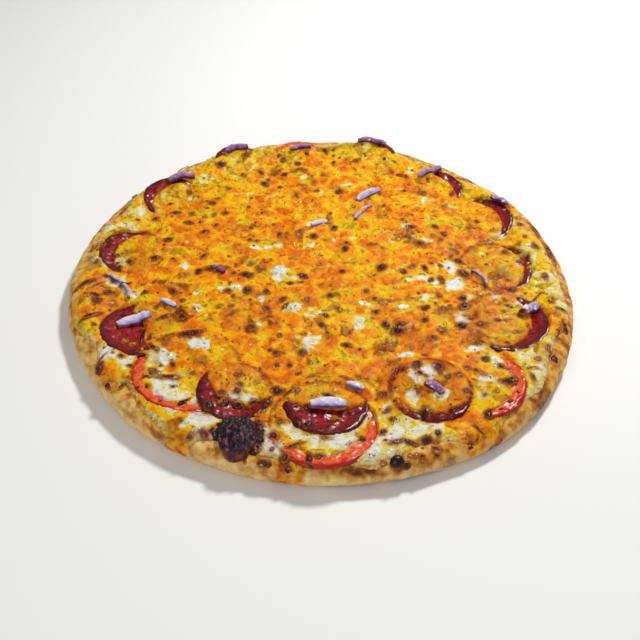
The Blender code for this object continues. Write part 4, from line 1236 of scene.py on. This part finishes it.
def buildOnion(name):
    piece = plainCopy(name, name + "_strip")
    rounder = piece.modifiers.new("rounder", "BEVEL")
    rounder.width = onion["round"] * mm
    rounder.segments = 2
    rounder.limit_method = "ANGLE"
    finer = piece.modifiers.new("finer", "SUBSURF")
    finer.subdivision_type = "SIMPLE"
    finer.levels = onion["levels"]
    finer.render_levels = onion["levels"]
    applied(piece)
    points = pointsOf(piece)
    flat = points[:, :2] - points[:, :2].mean(0)
    _, _, ways = np.linalg.svd(flat, full_matrices=False)
    along = flat @ ways[0]
    aside = flat @ ways[1]
    reach = np.abs(along).max()
    bowed = np.polyfit(along, aside, 2)
    spread = aside - np.polyval(bowed, along)
    if (ways[1] @ np.array([0.0, 1.0])) > 0:
        spread = -spread
    spread = 0.5 + 0.5 * spread / np.abs(spread).max()
    broader = (aside - np.polyval(bowed, along)) * (broadOnions.get(name, 1.0) - 1)
    points[:, :2] += np.outer(broader, ways[1])
    number = int(name[-2:])
    ripple = grain(along + points[:, 2], aside * 3, 2.5, number, 2) - 0.5
    points[:, 2] += onion["ripple"] * ripple * 2
    oneEnd = 1 if number % 2 else -1
    setPoints(piece, points, {"across": spread, "along": np.clip(oneEnd * along / reach, 0, 1),
                              "tint": np.full(len(points), purple.get(name, 0.12))})
    piece.data.materials.append(onionFinish)
    settle(piece, name)


def cookedChicken():
    # Chicken breast, diced and cooked: fibres, amber and pinkish brown under the oil
    material, tree, shader = newMaterial("cooked chicken")
    blotch = noise(tree, 260.0, 4.0, objectPlace(tree))["Fac"]
    share = calc(tree, "MULTIPLY_ADD", blotch, 0.6, attribute(tree, "fibre"))
    colour = shades(tree, share, (0.35, "#6A2410"), (0.6, "#A8581E"), (0.8, "#C98440"), (1.0, "#E0B070"))
    dress(tree, shader, colour, 0.4, 0.35)
    return material


def burntCrumb():
    # Cheese and onion burnt to charcoal: black and purple-brown, redder low down, a few oily glints
    material, tree, shader = newMaterial("burnt crumb")
    blotch = noise(tree, 420.0, 3.0, objectPlace(tree))["Fac"]
    low = between(tree, attribute(tree, "high"), 0.35, 0.8, 0.22, 0.0)
    colour = shades(tree, calc(tree, "ADD", blotch, low), (0.38, "#08040A"), (0.48, "#1C0C18"),
                    (0.56, "#34101E"), (0.62, "#4A1E3C"), (0.7, "#641E0E"), (0.85, "#8E3E0E"))
    dress(tree, shader, colour, 0.42, 0.3)
    relieve(tree, shader, blotch, 0.7, 0.001)
    return material


def remeshed(name, newName, voxel):
    # the solid with an even, fine mesh, and that mesh's points and normals
    piece = plainCopy(name, newName)
    even = piece.modifiers.new("even", "REMESH")
    even.mode = "VOXEL"
    even.voxel_size = voxel * mm
    applied(piece)
    points = pointsOf(piece)
    normals = np.empty(len(piece.data.vertices) * 3)
    piece.data.vertices.foreach_get("normal", normals)
    return piece, points, normals.reshape(-1, 3)


chickenFinish = cookedChicken()
charredFinish = burntCrumb()


def buildChicken(name):
    piece, points, normals = remeshed(name, name + "_chunk", chicken["voxel"])
    seed = int(name[-2:])
    turn = seed * chicken["turn"]
    along, aside = alongAside(points[:, 0], points[:, 1], turn)
    fibre = grain(along * 0.22, aside + points[:, 2] * 0.6, 1.1, 60 + seed, 3)
    points = points + normals * (chicken["fibre"] * 2 * (fibre - 0.5))[:, None]
    setPoints(piece, points, {"fibre": fibre})
    piece.data.materials.append(chickenFinish)
    settle(piece, name)


def buildLump(name):
    # narrowed, rounded off where it would reach too far, and lowered onto what is under it
    piece, points, normals = remeshed(name, name + "_crumb", charred["voxel"])
    crumb = grain(points[:, 0] + points[:, 2], points[:, 1] - points[:, 2] * 0.7, 2.4, 71, 3)
    points = points + normals * (charred["crumb"] * 2 * (crumb - 0.6))[:, None]
    middle = points[:, :2].mean(0)
    ground = blur(topChart, 2.0)
    below = sample(ground, points[:, 0], points[:, 1])
    points[:, :2] = middle + (points[:, :2] - middle) * (charred["narrow"], charred["deepen"])
    far = np.hypot(*(points[:, :2] - middle).T)
    held = np.minimum(far, charred["round"] + 0.25 * np.maximum(far - charred["round"], 0))
    points[:, :2] = middle + (points[:, :2] - middle) * (held / np.maximum(far, 0.01))[:, None]
    shift = np.clip(sample(ground, points[:, 0], points[:, 1]) - below, -3, 1)
    points[:, 2] += shift - charred["sink"]
    high = (points[:, 2] - points[:, 2].min()) / np.ptp(points[:, 2])
    setPoints(piece, points, {"high": high})
    piece.data.materials.append(charredFinish)
    settle(piece, name)


buildLump("charred_lump")
for name in nodesOf("chicken"):
    buildChicken(name)
for name in nodesOf("onion"):
    buildOnion(name)
print("onion, chicken and charred lump built")

# Blisters: small shapes set on every spot by nodes, then made uneven. Each profile goes from the
# middle outward: share of the half width, and height
blister = {"sides": 12, "grainSize": 1.6}
domeProfile = ((0.22, 0.36), (0.45, 0.34), (0.66, 0.22), (0.85, 0.08), (1.0, -0.08), (1.0, -0.4))
bubbleProfile = ((0.16, 0.5), (0.34, 0.47), (0.52, 0.41), (0.7, 0.31), (0.85, 0.17), (0.95, 0.0),
                 (1.0, -0.4))
ringProfile = ((0.3, 0.08), (0.5, 0.14), (0.64, 0.32), (0.78, 0.26), (0.9, 0.06), (1.0, -0.1),
               (1.0, -0.4))


def blisterShape(name, profile, middle, material, count=blister["sides"]):
    # one unit wide, with its share of the way out at each point
    points = [(0.0, 0.0, middle)]
    shares = [0.0]
    for step, (share, height) in enumerate(profile):
        for side in range(count):
            turn = math.tau * side / count
            points.append((0.5 * share * math.cos(turn), 0.5 * share * math.sin(turn), height))
            shares.append(min(1.0, share) if step < len(profile) - 1 else 1.0)
    faces = [(0, 1 + side, 1 + (side + 1) % count) for side in range(count)]
    faces += quads(len(profile), count, 1)
    last = 1 + (len(profile) - 1) * count
    faces.append(list(range(last, last + count)))
    piece = meshFrom(name, np.array(points) / mm, faces, material, {"out": shares})
    sheet = bmesh.new()
    sheet.from_mesh(piece.data)
    bmesh.ops.recalc_face_normals(sheet, faces=sheet.faces)
    sheet.to_mesh(piece.data)
    sheet.free()
    return piece


def brownedBlister(name, outward, stops):
    # Milk protein browned on a bubble of steam: glossy, darkest in the middle or round the ring
    material, tree, shader = newMaterial(name)
    out = attribute(tree, "out")
    burn = attribute(tree, "burn")
    blotch = noise(tree, 700.0, 2.0, objectPlace(tree))["Fac"]
    dark = calc(tree, "MULTIPLY_ADD", out, outward, burn)
    dark = calc(tree, "MULTIPLY_ADD", blotch, 0.4, dark)
    colour = shades(tree, calc(tree, "MULTIPLY", dark, 0.6), *stops)
    foot = calc(tree, "MULTIPLY", between(tree, out, 0.62, 0.95), between(tree, burn, 1.0, 0.6))
    dress(tree, shader, mixed(tree, foot, colour, linear("#C07A10")), 0.25, 0.4)
    relieve(tree, shader, blotch, 0.6, 0.0005)
    return material


domeFinish = brownedBlister("browned cheese blister", -0.3, (
    (0.0, "#C06A0C"), (0.16, "#96420A"), (0.3, "#70200C"), (0.48, "#481014"), (0.7, "#20080E")))
ringFinish = brownedBlister("toasted open bubble", 0.4, (
    (0.15, "#E8B050"), (0.32, "#CC8018"), (0.45, "#9A4A10"), (0.6, "#6A2410"), (0.85, "#38120E")))


def scatterTree(name):
    # sets one shape on every point, turned and sized by the point's own values, and dents it
    tree = bpy.data.node_groups.new(name, "GeometryNodeTree")
    face = tree.interface
    for label, kind in (("Geometry", "Geometry"), ("Shape", "Object"), ("Finish", "Material"),
                        ("Unevenness", "Float"), ("Grain size", "Float")):
        face.new_socket(label, in_out="INPUT", socket_type="NodeSocket" + kind)
    face.new_socket("Geometry", in_out="OUTPUT", socket_type="NodeSocketGeometry")
    source = addNode(tree, "NodeGroupInput").outputs
    shape = addNode(tree, "GeometryNodeObjectInfo", None, {"Object": source["Shape"]})
    size = addNode(tree, "GeometryNodeInputNamedAttribute", {"data_type": "FLOAT_VECTOR"}, {
        "Name": "spotSize"})
    turn = addNode(tree, "GeometryNodeInputNamedAttribute", {"data_type": "FLOAT_VECTOR"}, {
        "Name": "spotTurn"})
    spread = addNode(tree, "GeometryNodeInstanceOnPoints", None, {
        "Points": source["Geometry"], "Instance": shape.outputs["Geometry"],
        "Rotation": turn.outputs["Attribute"], "Scale": size.outputs["Attribute"]})
    real = addNode(tree, "GeometryNodeRealizeInstances", None, {
        "Geometry": spread.outputs["Instances"]})
    finer = addNode(tree, "ShaderNodeMath", {"operation": "DIVIDE"}, {0: 1.0, 1: source["Grain size"]})
    noise = addNode(tree, "ShaderNodeTexNoise", None, {"Scale": finer.outputs[0], "Detail": 1.0})
    centred = addNode(tree, "ShaderNodeVectorMath", {"operation": "SUBTRACT"}, {
        0: noise.outputs["Color"], 1: (0.5, 0.5, 0.5)})
    flatter = addNode(tree, "ShaderNodeVectorMath", {"operation": "MULTIPLY"}, {
        0: centred.outputs[0], 1: (1.0, 1.0, 0.5)})
    scaled = addNode(tree, "ShaderNodeVectorMath", {"operation": "SCALE"}, {
        0: flatter.outputs[0], "Scale": source["Unevenness"]})
    dented = addNode(tree, "GeometryNodeSetPosition", None, {
        "Geometry": real.outputs["Geometry"], "Offset": scaled.outputs[0]})
    done = addNode(tree, "GeometryNodeSetMaterial", None, {
        "Geometry": dented.outputs["Geometry"], "Material": source["Finish"]})
    addNode(tree, "NodeGroupOutput", None, {"Geometry": done.outputs["Geometry"]})
    return tree


scatterNodes = scatterTree("scatter on the pizza")


def scattered(name, marks, shape, finish, uneven, lift=0.0, rimLift=0.7):
    # marks are x, y, length, width, height, turn and burn, in mm and radians
    mesh = bpy.data.meshes.new(name + "Spots")
    places = [Vector((x, y, float(sample(topChart, x, y)))) +
              slopeAt(x, y) * (lift + rimLift * float(sample(inward, x, y) < 0)) for x, y, *_ in marks]
    mesh.from_pydata([place * mm for place in places], [], [])
    turns = []
    for x, y, _, _, _, turn, _ in marks:
        up = slopeAt(x, y)
        ahead = Vector((math.cos(turn), math.sin(turn), 0.0))
        ahead = (ahead - up * ahead.dot(up)).normalized()
        aside = up.cross(ahead)
        turns.append(Matrix((ahead, aside, up)).transposed().to_euler())
    columns = {"spotSize": np.array([mark[2:5] for mark in marks]) * mm, "spotTurn": np.array(turns)}
    for key, values in columns.items():
        mesh.attributes.new(key, "FLOAT_VECTOR", "POINT").data.foreach_set(
            "vector", values.astype(np.float32).ravel())
    burn = np.array([mark[6] for mark in marks], np.float32)
    mesh.attributes.new("burn", "FLOAT", "POINT").data.foreach_set("value", burn)
    points = bpy.data.objects.new(name + "Spots", mesh)
    scene.collection.objects.link(points)
    nodes = points.modifiers.new("scatter", "NODES")
    nodes.node_group = scatterNodes
    wanted = {"Shape": shape, "Finish": finish, "Unevenness": uneven * mm,
              "Grain size": blister["grainSize"] * mm}
    for item in scatterNodes.interface.items_tree:
        if item.in_out == "INPUT" and item.name in wanted:
            nodes[item.identifier] = wanted[item.name]
    seen = points.evaluated_get(bpy.context.evaluated_depsgraph_get())
    real = bpy.data.meshes.new_from_object(seen)
    points.modifiers.clear()
    real.shade_smooth()
    piece = bpy.data.objects.new(name, real)
    scene.collection.objects.link(piece)
    bpy.data.objects.remove(points)
    bpy.data.objects.remove(shape)
    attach(piece, "root")


def raised(marks, low, high):
    # gives every mark its height, a share of its width between low and high: more where burnt
    return [(x, y, length, wide, wide * (low + (high - low) * burn), turn, burn)
            for x, y, length, wide, turn, burn in marks]


scattered("browned_blisters", raised(domes, 0.5, 0.8),
          blisterShape("blisterDome", domeProfile, 0.24, domeFinish), domeFinish, 2.2)
scattered("open_bubbles", raised(openRings, 0.4, 0.5),
          blisterShape("blisterRing", ringProfile, 0.1, ringFinish), ringFinish, 1.8)
scattered("burnt_drips", raised(drips, 0.3, 0.45),
          blisterShape("burntDrip", domeProfile, 0.26, domeFinish), domeFinish, 2.2)
bubbleX, bubbleY, bubbleWide = blackBubble
bubbleMark = (bubbleX, bubbleY, bubbleWide * 1.05, bubbleWide, bubbleWide * 0.6, 0.4, 1.6)
scattered("black_bubble", [bubbleMark],
          blisterShape("burntBubble", bubbleProfile, 0.51, domeFinish, 32), domeFinish, 0.5)
print("blisters set")

# Herbs: dry flecks, closer together in some places
herb = {"count": 420, "size": (0.7, 2.2), "height": 0.35, "reach": 138.0, "seed": 8}


def driedHerb():
    # Parsley and dill, dried and baked: dark green to black, matt
    material, tree, shader = newMaterial("dried herb")
    blotch = noise(tree, 90.0, 2.0, objectPlace(tree))["Fac"]
    colour = shades(tree, blotch, (0.4, "#15180A"), (0.55, "#3A3C10"), (0.7, "#5A5A18"))
    dress(tree, shader, colour, 0.7, 0.5)
    return material


def buildHerbs():
    draw = np.random.default_rng(herb["seed"])
    marks = []
    while len(marks) < herb["count"]:
        far = herb["reach"] * math.sqrt(draw.random())
        angle = draw.random() * math.tau
        x = far * math.cos(angle)
        y = far * math.sin(angle)
        if grain(np.array(x), np.array(y), 18.0, 81) + 0.35 * (draw.random() - 0.5) > 0.52:
            long = draw.uniform(*herb["size"])
            wide = long * draw.uniform(0.25, 0.6)
            marks.append((x, y, long, wide, herb["height"], draw.random() * math.tau, 0.5))
    flake = [(-0.5, 0, 0), (-0.1, 0.4, 0.2), (0.5, 0.1, 0), (0.1, -0.4, 0.2), (0, 0, 0.6), (0, 0, -0.4)]
    faces = [(1, 4, 0), (2, 4, 1), (3, 4, 2), (0, 4, 3), (0, 5, 1), (1, 5, 2), (2, 5, 3), (3, 5, 0)]
    finish = driedHerb()
    shape = meshFrom("herbFlake", np.array(flake) / mm, faces, finish)
    scattered("herb_flecks", marks, shape, finish, 0.1, 0.2)


buildHerbs()
print("herbs scattered")
